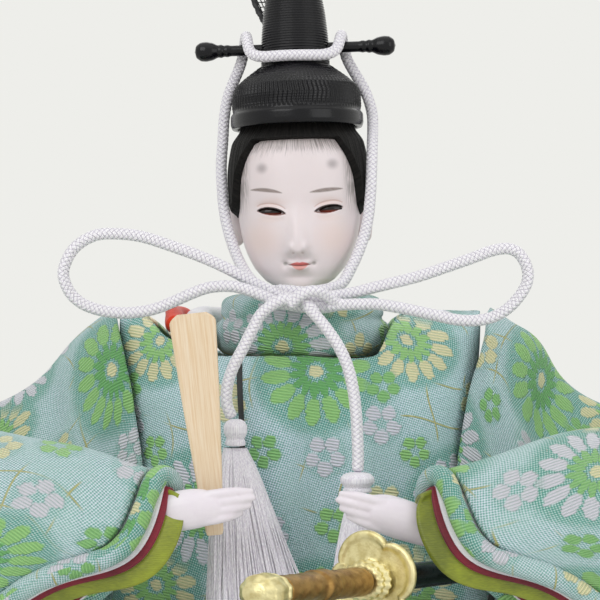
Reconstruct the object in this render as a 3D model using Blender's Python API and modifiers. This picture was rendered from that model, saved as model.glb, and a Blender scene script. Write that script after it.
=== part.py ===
"""Seated emperor doll: painted head, lacquer cap, brocade robe with wide sleeves, sceptre board and sword.

Metres, +Z up. The doll faces -Y. The origin is the middle of the base board's underside.
Left and right in names are the doll's own: the doll's left is +X.
"""

import math

import bmesh
import bpy
import numpy as np
from mathutils import Matrix, Vector

# Values that every piece shares
GAP = 0.0003
OVERRUN = 0.004
MERGE = 0.00002
CLOTH = 0.0016
LINING = 0.0008
LINING_GAP = 0.0007
CORD_R = 0.00135
CORD_STEP = 0.0062
CHIN_CORD_STEP = 0.0040
ROUTE_FINE = 24
ROBE_TOP = 0.1668

# Base board
BASE_W = 0.104
BASE_D = 0.076
BASE_T = 0.005
BASE_EDGE = 0.0015
HEM_Z = 0.0008

# Straw body, its neck hole and the padding round it
STRAW_DROP = 0.0113
STRAW_TOP = ROBE_TOP - STRAW_DROP
STRAW_HALF_W = 0.026
STRAW_DEPTH_SHARE = 0.72
STRAW_SHARES = ((0.80, 1.0), (0.86, 0.95), (0.85, 0.84), (0.78, 0.6), (0.90, 0.25), (1.0, 0.0))
SLEEVE_PAPER_R = 0.0042
SLEEVE_PAPER_L = 0.046
PAD_DROP = 0.0153
PAD_H = 0.0545
PAD_HIGH = ROBE_TOP - PAD_DROP
PAD_LOW = PAD_HIGH - PAD_H
PAD_HALF_W = 0.0315
PAD_HALF_D = 0.0235
PAD_SHARES = ((0.86, 0.0), (0.96, 0.12), (1.0, 0.4), (0.97, 0.75), (0.88, 0.95), (0.74, 1.0))

# Neck, head pivot and dowel
PIVOT_X = 0.0007
PIVOT_DROP = 0.0018
PIVOT_Z = ROBE_TOP - PIVOT_DROP
HEAD_LEAN_DEG = -1.7
HEAD_TURN_DEG = -2.5
DOWEL_R = 0.002
DOWEL_LOW = 0.050
DOWEL_HIGH = 0.016
NECK_R = 0.0064
NECK_LOW = 0.0075
NECK_HIGH = 0.022

# Head: its height, half width and reaches, and the form of its levels
HEAD_HEIGHT = 0.0570
HEAD_HALF_W = 0.0157
HEAD_FRONT = 0.0160
HEAD_BACK = 0.0190
HEAD_SQUARE_SHARE = 0.84
HEAD_ROUND_SHARES = (0.70, 0.84)
HEAD_LEVELS = 16
HEAD_SHARES = (
    (0.130, 0.13, 0.78, -0.52),
    (0.144, 0.35, 0.85, -0.26),
    (0.175, 0.54, 0.89, -0.02),
    (0.228, 0.71, 0.92, 0.26),
    (0.298, 0.84, 0.95, 0.53),
    (0.368, 0.92, 0.97, 0.74),
    (0.456, 0.97, 0.975, 0.90),
    (0.544, 0.995, 0.99, 0.97),
    (0.649, 1.0, 1.0, 1.0),
    (0.754, 0.94, 0.96, 0.97),
    (0.842, 0.85, 0.86, 0.89),
    (0.912, 0.72, 0.73, 0.77),
    (0.965, 0.52, 0.53, 0.58),
    (1.0, 0.20, 0.20, 0.26),
)
NOSE_OUT = 0.0028
NOSE_TIP_Z = 0.0180
NOSE_ROOT_Z = 0.0300
NOSE_HALF_W = 0.0026
EAR_X = 0.0160
EAR_Y = 0.0045
EAR_Z = 0.0245
EAR_R = (0.0026, 0.0028, 0.0054)
EYE_X = 0.0071
EYE_Z = 0.0269
EYE_R = (0.0037, 0.0030, 0.0016)
EYE_SINK = 0.0018

# Hair: outward growth over the head by height, and its openings
HAIR_GROW = 0.0020
HAIR_TOP_GROW = 0.0008
HAIR_LOW_Z = 0.0255
HAIRLINE_Z = 0.0440
LOCK_HALF_W = 0.0153
LOCK_SHARES = ((0.71, 1.0), (0.88, 0.883), (0.955, 0.803), (0.995, 0.727), (1.04, 0.5))
FACE_BACK = 0.0005
NAPE_SHARES = ((-2.0, 0.90), (-0.15, 0.98), (0.2, 1.25), (0.55, 1.05), (0.8, 0.80), (2.0, 0.68))

# Cap: bowl, tower, pin and tail, above the pivot
CAP_Z = 0.0480
CAP_H = 0.0155
CAP_HALF_W = 0.0164
CAP_HALF_D = 0.0188
CAP_Y = 0.0012
CAP_OUTER_SHARES = (
    (0.53, 1.0),
    (0.62, 0.93),
    (0.785, 0.80),
    (0.925, 0.67),
    (0.975, 0.50),
    (0.975, 0.25),
    (1.01, 0.215),
    (1.015, 0.06),
    (0.99, 0.0),
)
CAP_INNER_SHARES = ((0.918, 0.0), (0.912, 0.50), (0.84, 0.70), (0.62, 0.84), (0.40, 0.90))
TOWER_H = 0.0225
TOWER_HALF_W = 0.0086
TOWER_HALF_D = 0.0072
TOWER_Y = 0.0012
TOWER_LEAN = 0.0025
TOWER_SHARES = (
    (1.0, 0.0),
    (1.0, 0.12),
    (0.96, 0.35),
    (0.90, 0.58),
    (0.82, 0.76),
    (0.66, 0.90),
    (0.42, 0.97),
    (0.15, 1.0),
)
PIN_Z = 0.0680
PIN_HALF = 0.0252
PIN_R = 0.00135
PIN_KNOB_R = 0.0025
PIN_SHARES = (
    (0.0, 1.0),
    (0.62, 0.985),
    (0.95, 0.94),
    (1.0, 0.885),
    (0.88, 0.82),
    (0.60, 0.765),
    (0.70, 0.735),
    (0.54, 0.705),
    (0.64, 0.675),
    (0.54, 0.645),
    (0.54, 0.0),
)
SOCKET_W = 0.0092
SOCKET_D = 0.0042
SOCKET_H = 0.0080
SOCKET_FLOOR = 0.0010
TENON_W = 0.0064
TENON_T = 0.0018
TAIL_FOOT = 0.0020
TAIL_H = 0.0770
TAIL_LEFT = 0.0135
TAIL_RIGHT = 0.0057
TAIL_SIDE_SHARES = ((0.0, 0.50), (0.10, 0.80), (0.22, 0.96), (0.5, 1.0), (0.85, 1.0), (0.95, 0.94))
TAIL_BACK_LEAN = 0.0060
TAIL_SHIFT_SHARES = ((0.0, 0.5), (0.25, 1.0), (1.0, 1.0))
TAIL_SIDE_STEPS = 12
TAIL_EDGE_R = 0.0007
NET_BAR = 0.0005
NET_COLUMNS = 5
NET_ROWS = 14
NET_LOW_SHARE = 0.03
NET_HIGH_SHARE = 0.92

# Cord routes, with heights from the head's pivot, from the photograph at the head's and the chest's depth
CHIN_CORD_ROUTE = (
    (-0.0024, -0.0222, 0.0072),
    (-0.0088, -0.0176, 0.0075),
    (-0.0122, -0.0132, 0.0102),
    (-0.0150, -0.0085, 0.0146),
    (-0.0172, -0.0050, 0.0202),
    (-0.0187, -0.0030, 0.0262),
    (-0.0194, -0.0014, 0.0325),
    (-0.0197, 0.0000, 0.0388),
    (-0.0193, 0.0012, 0.0450),
    (-0.0190, 0.0022, 0.0510),
    (-0.0180, 0.0034, 0.0565),
    (-0.0162, 0.0046, 0.0612),
    (-0.0148, 0.0053, 0.0648),
    (-0.0141, 0.0054, 0.0686),
    (-0.0136, 0.0018, 0.0712),
    (-0.0131, -0.0020, 0.0694),
    (-0.0124, -0.0044, 0.0662),
    (-0.0096, -0.0066, 0.0650),
    (-0.0055, -0.0083, 0.0651),
    (-0.0018, -0.0087, 0.0652),
    (0.0022, -0.0084, 0.0653),
    (0.0062, -0.0072, 0.0655),
    (0.0090, -0.0052, 0.0668),
    (0.0099, -0.0026, 0.0700),
    (0.0104, 0.0008, 0.0720),
    (0.0108, 0.0046, 0.0696),
    (0.0119, 0.0052, 0.0656),
    (0.0142, 0.0046, 0.0616),
    (0.0166, 0.0036, 0.0572),
    (0.0181, 0.0024, 0.0522),
    (0.0182, 0.0000, 0.0480),
    (0.0180, -0.0034, 0.0448),
    (0.0178, -0.0062, 0.0410),
    (0.0176, -0.0078, 0.0361),
    (0.0173, -0.0080, 0.0299),
    (0.0165, -0.0086, 0.0237),
    (0.0146, -0.0108, 0.0174),
    (0.0120, -0.0147, 0.0120),
    (0.0097, -0.0180, 0.0085),
    (0.0044, -0.0222, 0.0072),
)
LOOP_RIGHT_ROUTE = (
    (-0.0046, -0.0243, 0.0059),
    (-0.0114, -0.0250, 0.0093),
    (-0.0167, -0.0260, 0.0122),
    (-0.0236, -0.0262, 0.0153),
    (-0.0305, -0.0263, 0.0178),
    (-0.0374, -0.0264, 0.0200),
    (-0.0432, -0.0265, 0.0207),
    (-0.0487, -0.0266, 0.0203),
    (-0.0536, -0.0267, 0.0172),
    (-0.0561, -0.0268, 0.0119),
    (-0.0549, -0.0269, 0.0074),
    (-0.0520, -0.0270, 0.0044),
    (-0.0479, -0.0271, 0.0027),
    (-0.0432, -0.0272, 0.0020),
    (-0.0386, -0.0273, 0.0021),
    (-0.0341, -0.0274, 0.0030),
    (-0.0298, -0.0276, 0.0047),
    (-0.0255, -0.0279, 0.0066),
    (-0.0212, -0.0281, 0.0080),
    (-0.0158, -0.0284, 0.0082),
    (-0.0108, -0.0285, 0.0068),
    (-0.0050, -0.0284, 0.0043),
)
LOOP_LEFT_ROUTE = (
    (0.0071, -0.0243, 0.0058),
    (0.0130, -0.0247, 0.0068),
    (0.0181, -0.0250, 0.0081),
    (0.0274, -0.0256, 0.0104),
    (0.0341, -0.0259, 0.0126),
    (0.0410, -0.0260, 0.0150),
    (0.0456, -0.0261, 0.0167),
    (0.0494, -0.0262, 0.0172),
    (0.0521, -0.0263, 0.0159),
    (0.0539, -0.0264, 0.0126),
    (0.0539, -0.0265, 0.0093),
    (0.0522, -0.0267, 0.0061),
    (0.0494, -0.0269, 0.0031),
    (0.0456, -0.0270, 0.0009),
    (0.0410, -0.0271, 0.0001),
    (0.0365, -0.0272, 0.0004),
    (0.0320, -0.0274, 0.0014),
    (0.0274, -0.0276, 0.0024),
    (0.0229, -0.0279, 0.0033),
    (0.0181, -0.0282, 0.0040),
    (0.0130, -0.0283, 0.0040),
    (0.0067, -0.0283, 0.0037),
)
TAIL_RIGHT_ROUTE = (
    (-0.0010, -0.0309, 0.0053),
    (-0.0050, -0.0320, 0.0047),
    (-0.0090, -0.0325, 0.0018),
    (-0.0112, -0.0330, -0.0021),
    (-0.0136, -0.0340, -0.0068),
    (-0.0158, -0.0350, -0.0112),
    (-0.0170, -0.0356, -0.0156),
    (-0.0170, -0.0361, -0.0192),
    (-0.0160, -0.0364, -0.0220),
)
TAIL_LEFT_ROUTE = (
    (0.0018, -0.0304, 0.0034),
    (0.0052, -0.0322, -0.0004),
    (0.0087, -0.0340, -0.0053),
    (0.0110, -0.0355, -0.0102),
    (0.0123, -0.0367, -0.0155),
    (0.0130, -0.0378, -0.0212),
    (0.0133, -0.0389, -0.0269),
    (0.0134, -0.0400, -0.0315),
    (0.0133, -0.0406, -0.0341),
)
KNOT_AT = (0.0010, -0.0258, 0.0052)
KNOT_R = (0.0058, 0.0036, 0.0030)

# Tassels: a wound head and a skirt of threads, each a stack of ellipses, with tops from the head's pivot
TASSEL_RIGHT_TOP = (-0.0150, -0.0368, -0.0226)
TASSEL_LEFT_TOP = (0.0132, -0.0412, -0.0346)
TASSEL_HEAD_R = 0.0027
TASSEL_HEAD_H = 0.0064
TASSEL_KNOT_R = 0.0039
TASSEL_KNOT_H = 0.0048
TASSEL_HEAD_SHARES = (
    (0.10, 0.0),
    (0.70, -0.06),
    (1.0, -0.28),
    (1.0, -0.50),
    (0.72, -0.72),
    (0.86, -0.80),
    (0.86, -0.98),
    (0.60, -1.0),
    (0.0, -1.0),
)
SKIRT_RIGHT_L = 0.0430
SKIRT_RIGHT_HALF_W = 0.0118
SKIRT_RIGHT_DRIFT = (0.0055, -0.0120)
SKIRT_LEFT_L = 0.0400
SKIRT_LEFT_HALF_W = 0.0080
SKIRT_LEFT_DRIFT = (-0.0004, -0.0080)
SKIRT_DEPTH_SHARE = 0.58
SKIRT_SHARES = ((0.21, 0.0), (0.38, 0.12), (0.62, 0.36), (0.85, 0.70), (1.0, 1.0))

# Robe: half width, front and back reach by height
ROBE_HALF_W = 0.0475
ROBE_FRONT = 0.0285
ROBE_BACK = 0.0270
ROBE_SQUARE_SHARE = 0.60
ROBE_SHARES = (
    (0.0, 1.56, 2.74, 2.00),
    (0.18, 1.39, 2.39, 1.70),
    (0.336, 1.14, 1.82, 1.33),
    (0.456, 0.92, 1.19, 1.07),
    (0.54, 0.84, 0.95, 0.95),
    (0.624, 0.84, 1.0, 1.0),
    (0.73, 0.85, 1.0, 1.0),
    (0.828, 0.86, 0.95, 0.96),
    (0.888, 0.90, 0.86, 0.89),
    (0.935, 0.92, 0.70, 0.74),
    (0.970, 0.93, 0.49, 0.53),
    (0.992, 0.935, 0.26, 0.28),
    (1.0, 0.94, 0.034, 0.034),
)
NECK_EDGE_DROP = 0.0116
NECK_EDGE_Z = ROBE_TOP - NECK_EDGE_DROP
NECK_LEFT_SHARES = ((0.0, 0.0), (0.42, 0.0), (0.51, 0.70), (0.60, 0.95), (0.70, 1.0), (1.0, 1.0))
NECK_RIGHT_SHARES = (
    (0.0, 0.0),
    (0.46, 0.0),
    (0.60, 0.15),
    (0.74, 0.42),
    (0.84, 0.82),
    (0.92, 1.0),
    (1.0, 1.0),
)
NECK_FROM_SHARE = 0.90
SIDE_TOP_DEG = 67.0
SIDE_LOW_DEG = 86.0
SIDE_HIGH_Z = 0.118
SIDE_LOW_Z = 0.098
BACK_TOP_DEG = 110.0
BACK_LOW_DEG = 86.6
WRAP_OUT = 0.0028
WRAP_FROM_DEG = -19.0
WRAP_TO_DEG = -6.0
BELT_LOW = 0.0845
BELT_H = 0.0085
BELT_T = 0.0014
BELT_COLUMNS = 36
BELT_ROWS = 2
NECK_ROWS = 3

# Collars
COLLAR_X = 0.0006
COLLAR_Y = 0.0005
COLLAR_R = 0.0216
COLLAR_DROP = 0.0105
COLLAR_Z = ROBE_TOP - COLLAR_DROP
COLLAR_H = 0.0152
COLLAR_SHARES = (
    (0.55, 1.00),
    (0.76, 1.0),
    (0.90, 0.94),
    (0.945, 0.83),
    (0.92, 0.73),
    (0.975, 0.63),
    (1.01, 0.38),
    (0.985, 0.12),
    (0.89, 0.0),
    (0.56, 0.0),
    (0.49, 0.12),
    (0.49, 0.90),
)
INNER_COLLAR_T = 0.0022
INNER_COLLAR_RISE = 0.0008
WHITE_ROLL_R = 0.0034
WHITE_ROLL_ROUTE = (
    (-0.0240, -0.0085, 0.0037),
    (-0.0253, -0.0030, 0.0069),
    (-0.0251, 0.0050, 0.0087),
    (-0.0221, 0.0135, 0.0085),
    (-0.0164, 0.0203, 0.0077),
)
RED_ROLL_R = 0.0023
RED_ROLL_ROUTE = (
    (-0.0310, -0.0050, 0.0075),
    (-0.0316, 0.0010, 0.0095),
    (-0.0315, 0.0070, 0.0101),
    (-0.0296, 0.0126, 0.0093),
)

# Sleeve: outer and inner reach to the side, reach to the front, height, and stations from armhole to mouth
SLEEVE_W = 0.150
SLEEVE_INNER = 0.030
SLEEVE_D = 0.070
SLEEVE_Z = 0.1665
SLEEVE_STATIONS_SHARES = (
    (
        (0.3500, -0.51, 0.018), (0.1938, -0.38, 0.35), (0.1087, -0.27, 0.67),
        (0.1125, -0.18, 0.89), (0.1313, 0.0, 1.0), (0.0963, 0.17, 0.945),
        (0.0825, 0.24, 0.86), (0.0650, 0.275, 0.77), (0.0700, 0.29, 0.69),
    ),
    (
        (0.5125, -0.60, 0.018), (0.4313, -0.48, 0.34), (0.3313, -0.35, 0.62),
        (0.2625, -0.20, 0.805), (0.2250, 0.0, 0.932), (0.1812, 0.235, 0.853),
        (0.1812, 0.31, 0.78), (0.1875, 0.32, 0.72), (0.1975, 0.32, 0.675),
    ),
    (
        (0.8125, -0.48, 0.018), (0.7000, -0.40, 0.33), (0.5813, -0.28, 0.60),
        (0.4812, -0.13, 0.757), (0.3875, 0.02, 0.860), (0.3500, 0.150, 0.80),
        (0.3587, 0.185, 0.74), (0.3663, 0.185, 0.70), (0.3788, 0.185, 0.665),
    ),
    (
        (0.9938, -0.06, 0.018), (0.9312, 0.05, 0.33), (0.8250, 0.13, 0.60),
        (0.7125, 0.16, 0.745), (0.6125, 0.10, 0.806), (0.5188, 0.11, 0.745),
        (0.5087, 0.13, 0.70), (0.5312, 0.15, 0.63), (0.6125, 0.14, 0.53),
    ),
    (
        (1.0000, 0.20, 0.018), (0.8813, 0.44, 0.335), (0.7188, 0.60, 0.625),
        (0.5688, 0.565, 0.770), (0.4662, 0.350, 0.833), (0.4000, 0.235, 0.745),
        (0.4313, 0.29, 0.65), (0.5625, 0.32, 0.53), (0.7250, 0.24, 0.30),
    ),
    (
        (0.9625, 0.49, 0.018), (0.7500, 0.72, 0.35), (0.4875, 0.885, 0.635),
        (0.3188, 0.830, 0.770), (0.2625, 0.600, 0.837), (0.1962, 0.480, 0.735),
        (0.3000, 0.53, 0.625), (0.5312, 0.52, 0.445), (0.7625, 0.42, 0.12),
    ),
    (
        (0.8662, 0.72, 0.018), (0.6663, 0.87, 0.34), (0.3162, 0.985, 0.625),
        (0.0950, 1.0, 0.708), (0.0475, 0.855, 0.808), (0.0300, 0.700, 0.724),
        (0.1700, 0.74, 0.617), (0.4750, 0.73, 0.43), (0.7750, 0.58, 0.018),
    ),
)
SLEEVE_EDGE_R = 0.0022
SLEEVE_ROWS = 16
SLEEVE_COLUMNS = 17
SLEEVE_SLOPE_SHARE = 0.004
LINING_ROWS = 4
LINING_SIDE_COLUMNS = 2
LINING_BACK_SHARES = (0.05, 0.08, 0.11)

# Arms: wire and padding, with places from the chest to the elbow and from the wrist to the elbow
WIRE_R = 0.0010
ARM_PAD_R = 0.0043
WRIST_PAD_R = 0.0030
WRIST_TAPER_SHARES = (0.5, 0.95)
ARM_REACH_SHARE = 0.608
ELBOW_Z_SHARE = 0.735
SHOULDER_DROP = 0.0165
UPPER_ARM_SHARES = (
    (0.0, 0.0914, 0.989),
    (0.194, 0.0643, 1.0),
    (0.369, 0.0143, 0.989),
    (0.544, 0.0, 0.684),
    (0.762, -0.0071, 0.280),
    (0.874, -0.0043, 0.101),
    (0.957, -0.0486, 0.028),
    (1.0, -0.1643, 0.0),
)
FOREARM_SHARES = (
    (0.940, -0.3000, 0.7417),
    (0.795, -0.4143, 0.7495),
    (0.616, -0.5357, 0.7520),
    (0.430, -0.6600, 0.7520),
    (0.232, -0.7786, 0.7477),
    (0.099, -0.8429, 0.7435),
    (0.0, -0.8743, 0.7423),
)
WIRE_STEP = 0.0092
WRIST_POINTS = 4
WRIST_FROM_HAND = 0.0030

# Hands: wrist place, reach to the fingertips
HAND_R = (0.0062, 0.0034, 0.0052)
HAND_L = 0.0190
FINGER_R = 0.00155
FINGER_TIP_R = 0.0010
FINGER_SHARES = (
    (0.20, 0.62, 1.0, 0.58),
    (0.20, 0.22, 0.96, 0.30),
    (0.16, -0.18, 0.86, 0.0),
    (0.10, -0.55, 0.70, -0.30),
)
THUMB_R = 0.0017
THUMB_SHARES = ((-0.27, -0.30), (-0.22, -0.15), (1.05, 0.40))
HAND_DIP_SHARE = 0.10
TIP_SWELL_SHARE = 1.05
SHAKU_GRIP_HALF_W = 0.0038
HAND_RIGHT_AT = (-0.0245, -0.0632, 0.1236)
HAND_LEFT_AT = (0.0222, -0.0610, 0.1212)
HAND_RIGHT_TILT_DEG = 7.0
HAND_LEFT_TILT_DEG = 14.0

# Sceptre board, in its own frame up its axis
SHAKU_FROM_HAND = (0.0056, 0.0057, -0.0058)
SHAKU_AT = tuple(a + b for a, b in zip(HAND_RIGHT_AT, SHAKU_FROM_HAND))
SHAKU_L = 0.0495
SHAKU_T = 0.0018
SHAKU_TOP_HALF_W = 0.0052
SHAKU_FOOT_HALF_W = 0.0019
SHAKU_LEAN_DEG = -6.0
SHAKU_SIDE_SHARES = ((0.0, 0.0), (0.30, 0.24), (0.685, 0.58), (1.0, 0.955))
SHAKU_TOP_SHARES = ((0.62, 0.985), (0.20, 1.0))

# Sword, along its own axis from the guard
SWORD_AT = (0.0154, -0.0750, 0.1100)
SWORD_AXIS = (-0.52, -0.85, 0.06)
GUARD_R = 0.0112
GUARD_T = 0.0018
GUARD_LOBES = 4
GUARD_POINTS = 48
GUARD_DEPTH_SHARE = 0.20
GUARD_ROUND_SHARE = 0.7
GRIP_L = 0.0330
GRIP_R = 0.0040
GRIP_FLAT_SHARE = 0.80
GRIP_SHARES = ((0.96, 1.0), (0.92, 0.56), (1.12, 0.56), (1.12, 0.42), (0.92, 0.42), (1.0, 0.0))
POMMEL_L = 0.0085
POMMEL_R = 0.0048
POMMEL_SHARES = ((0.0, 1.0), (0.55, 0.96), (0.92, 0.78), (1.0, 0.5), (0.95, 0.15), (0.90, 0.0))
SWORD_COLLAR_L = 0.0040
SWORD_COLLAR_R = 0.0052
SWORD_COLLAR_SHARES = ((0.86, 1.0), (1.0, 0.70), (0.90, 0.45), (1.10, 0.15), (1.10, 0.0))
SCABBARD_L = 0.0960
SCABBARD_R = 0.0036
SCABBARD_THROAT_L = 0.0060
SCABBARD_THROAT_SHARE = 1.15
SCABBARD_TIP_SHARES = (0.86, 0.55)
HANGER_AT_SHARE = 0.60
HANGER_T = 0.0012
HANGER_FLAT_SHARE = 0.84
STRAP_SHARE = 0.9
STRAP_ROUTE = (
    (0.0460, -0.0250, 0.1027),
    (0.0452, -0.0262, 0.0980),
    (0.0415, -0.0268, 0.0925),
    (0.0384, -0.0257, 0.0898),
)

# Folded legs under the robe
KNEE_AT = (0.033, -0.030, 0.0215)
KNEE_R = (0.027, 0.031, 0.0160)

FULL_DEG = 360.0
PARTS = "EmperorDoll"
CUTTERS = "Cutters"


def clear_scene():
    for item in list(bpy.data.objects):
        bpy.data.objects.remove(item, do_unlink=True)


def make_collection(name):
    group = bpy.data.collections.new(name)
    bpy.context.scene.collection.children.link(group)
    return group


def material(name, colour, roughness, metallic=0.0):
    made = bpy.data.materials.new(name)
    made.use_nodes = True
    shader = made.node_tree.nodes["Principled BSDF"]
    shader.inputs["Base Color"].default_value = (*colour, 1.0)
    shader.inputs["Roughness"].default_value = roughness
    shader.inputs["Metallic"].default_value = metallic
    return made


def add(name, data, look=None, cutter=False, smooth=True):
    """An object in the parts collection, or a hidden one in the cutters collection."""
    made = bpy.data.objects.new(name, data)
    bpy.data.collections[CUTTERS if cutter else PARTS].objects.link(made)
    if look is not None:
        data.materials.append(look)
    if cutter:
        made.hide_render = True
        made.display_type = "WIRE"
    if smooth and isinstance(data, bpy.types.Mesh):
        data.shade_smooth()
    return made


def mesh_from(name, bm):
    bmesh.ops.recalc_face_normals(bm, faces=bm.faces)
    data = bpy.data.meshes.new(name)
    bm.to_mesh(data)
    bm.free()
    return data


def lofted(name, rings, look=None, cutter=False):
    """A closed solid through rings of points, each with the same count, with flat ends."""
    bm = bmesh.new()
    rows = [[bm.verts.new(point) for point in ring] for ring in rings]
    count = len(rows[0])
    for low, high in zip(rows, rows[1:]):
        for i in range(count):
            j = (i + 1) % count
            bm.faces.new((low[i], low[j], high[j], high[i]))
    bm.faces.new(rows[0][::-1])
    bm.faces.new(rows[-1])
    return add(name, mesh_from(name, bm), look, cutter)


def cloth(name, grid, thickness, look, closed=False):
    """A sheet through a grid of points, thickened evenly about itself."""
    bm = bmesh.new()
    rows = [[bm.verts.new(point) for point in row] for row in grid]
    wide = len(rows[0])
    for low, high in zip(rows, rows[1:]):
        for i in range(wide if closed else wide - 1):
            j = (i + 1) % wide
            bm.faces.new((low[i], low[j], high[j], high[i]))
    made = add(name, mesh_from(name, bm), look)
    solid = made.modifiers.new("Thickness", "SOLIDIFY")
    solid.thickness = thickness
    solid.offset = 0.0
    solid.use_even_offset = True
    return made


def ellipsoid(name, centre, radii, look=None, cutter=False, segments=16, rings=10):
    bm = bmesh.new()
    bmesh.ops.create_uvsphere(bm, u_segments=segments, v_segments=rings, radius=1.0)
    bmesh.ops.transform(bm, matrix=Matrix.LocRotScale(Vector(centre), None, Vector(radii)), verts=bm.verts)
    return add(name, mesh_from(name, bm), look, cutter)


def box(name, centre, size, look=None, cutter=False):
    bm = bmesh.new()
    bmesh.ops.create_cube(bm, size=1.0)
    bmesh.ops.transform(bm, matrix=Matrix.LocRotScale(Vector(centre), None, Vector(size)), verts=bm.verts)
    return add(name, mesh_from(name, bm), look, cutter, smooth=False)


def turned(name, profile, look=None, steps=24, closed=False, cutter=False):
    """A solid turned about Z from (radius, height) points that run down its outer side."""
    bm = bmesh.new()
    points = [bm.verts.new((radius, 0.0, height)) for radius, height in profile]
    for a, b in zip(points, points[1:]):
        bm.edges.new((a, b))
    if closed:
        bm.edges.new((points[-1], points[0]))
    data = bpy.data.meshes.new(name)
    bm.to_mesh(data)
    bm.free()
    made = add(name, data, look, cutter, smooth=False)
    screw = made.modifiers.new("Turn", "SCREW")
    screw.axis = "Z"
    screw.steps = steps
    screw.render_steps = steps
    screw.use_merge_vertices = True
    screw.merge_threshold = MERGE
    screw.use_smooth_shade = True
    return made


def tube(name, points, radius, look=None, cutter=False, radii=None, resolution=2):
    """A round bar along the points with filled ends."""
    data = bpy.data.curves.new(name, "CURVE")
    data.dimensions = "3D"
    data.bevel_depth = radius
    data.bevel_resolution = resolution
    data.use_fill_caps = True
    line = data.splines.new("POLY")
    line.points.add(len(points) - 1)
    for i, point in enumerate(points):
        line.points[i].co = (*point, 1.0)
        if radii is not None:
            line.points[i].radius = radii[i]
    return add(name, data, look, cutter)


def tube_mesh(name, points, radius, look=None, cutter=False, radii=None, resolution=2):
    """The same bar as one closed mesh, which can be cut or joined."""
    curve = tube(name, points, radius, None, cutter, radii, resolution)
    bpy.context.view_layer.update()
    seen = curve.evaluated_get(bpy.context.evaluated_depsgraph_get())
    data = bpy.data.meshes.new_from_object(seen)
    matrix = curve.matrix_world.copy()
    bpy.data.objects.remove(curve, do_unlink=True)
    bm = bmesh.new()
    bm.from_mesh(data)
    bmesh.ops.remove_doubles(bm, verts=bm.verts, dist=MERGE)
    bmesh.ops.recalc_face_normals(bm, faces=bm.faces)
    bm.to_mesh(data)
    bm.free()
    made = add(name, data, look, cutter)
    made.matrix_world = matrix
    return made


def boolean(target, other, operation):
    change = target.modifiers.new(operation.title(), "BOOLEAN")
    change.operation = operation
    change.solver = "EXACT"
    change.object = other


def cut(target, *others):
    for other in others:
        boolean(target, other, "DIFFERENCE")


def join(target, *others):
    for other in others:
        boolean(target, other, "UNION")


def flat_outline(name, outline, half_thickness, look=None):
    """A flat board from a 2D outline, extruded both ways."""
    data = bpy.data.curves.new(name, "CURVE")
    data.dimensions = "2D"
    data.fill_mode = "BOTH"
    data.extrude = half_thickness
    line = data.splines.new("POLY")
    line.points.add(len(outline) - 1)
    for i, (x, y) in enumerate(outline):
        line.points[i].co = (x, y, 0.0, 1.0)
    line.use_cyclic_u = True
    made = add(name, data, look)
    weld = made.modifiers.new("Weld", "WELD")
    weld.merge_threshold = MERGE
    return made


def through(points, t):
    """The point at share t of a smooth line through evenly weighted points."""
    points = np.asarray(points, float)
    last = len(points) - 1
    place = min(max(t, 0.0), 1.0) * last
    i = min(int(place), last - 1)
    u = place - i
    p0 = points[i - 1] if i > 0 else 2 * points[0] - points[1]
    p3 = points[i + 2] if i + 2 <= last else 2 * points[last] - points[last - 1]
    p1 = points[i]
    p2 = points[i + 1]
    m1 = (p2 - p0) / 2
    m2 = (p3 - p1) / 2
    h1 = 2 * u**3 - 3 * u**2 + 1
    h2 = u**3 - 2 * u**2 + u
    h3 = -2 * u**3 + 3 * u**2
    h4 = u**3 - u**2
    return h1 * p1 + h2 * m1 + h3 * p2 + h4 * m2


def smooth_route(points, step):
    """The smooth line through the points, with a point about every step of its length."""
    fine = np.array([through(points, t) for t in np.linspace(0.0, 1.0, ROUTE_FINE * len(points))])
    run = np.concatenate([[0.0], np.cumsum(np.linalg.norm(np.diff(fine, axis=0), axis=1))])
    count = max(3, round(run[-1] / step) + 1)
    at = np.linspace(0.0, run[-1], count)
    return np.stack([np.interp(at, run, fine[:, k]) for k in range(3)], axis=1)


def along(values, place):
    """A smooth value from a table whose first column is the place."""
    table = np.asarray(values, float)
    keys = table[:, 0]
    i = int(np.clip(np.searchsorted(keys, place) - 1, 0, len(keys) - 2))
    u = float(np.clip((place - keys[i]) / (keys[i + 1] - keys[i]), 0.0, 1.0))
    return through(table[:, 1:], (i + u) / (len(keys) - 1))


def smooth_step(low, high, value):
    u = min(max((value - low) / (high - low), 0.0), 1.0)
    return u * u * (3 - 2 * u)


def ellipse_ring(centre, half_w, half_d, count=24):
    x, y, z = centre
    turns = [2 * math.pi * i / count for i in range(count)]
    return [(x + half_w * math.sin(a), y - half_d * math.cos(a), z) for a in turns]


def head_ring(share, grow=0.0, lift=0.0, count=24):
    """One level of the head, with its front at -Y; grow moves it outward."""
    height, wide, front, back = share
    z = HEAD_HEIGHT * height + lift
    half_w = HEAD_HALF_W * wide + grow
    reach_front = HEAD_FRONT * front + grow
    reach_back = HEAD_BACK * back + grow
    middle = (reach_back - reach_front) / 2
    half_d = (reach_back + reach_front) / 2
    power = HEAD_SQUARE_SHARE + (1 - HEAD_SQUARE_SHARE) * smooth_step(*HEAD_ROUND_SHARES, height)
    ring = []
    for i in range(count):
        a = 2 * math.pi * i / count
        s = math.sin(a)
        c = math.cos(a)
        x = half_w * math.copysign(abs(s) ** power, s)
        y = middle - half_d * math.copysign(abs(c) ** power, c)
        ring.append((x, y, z))
    return ring


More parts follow.
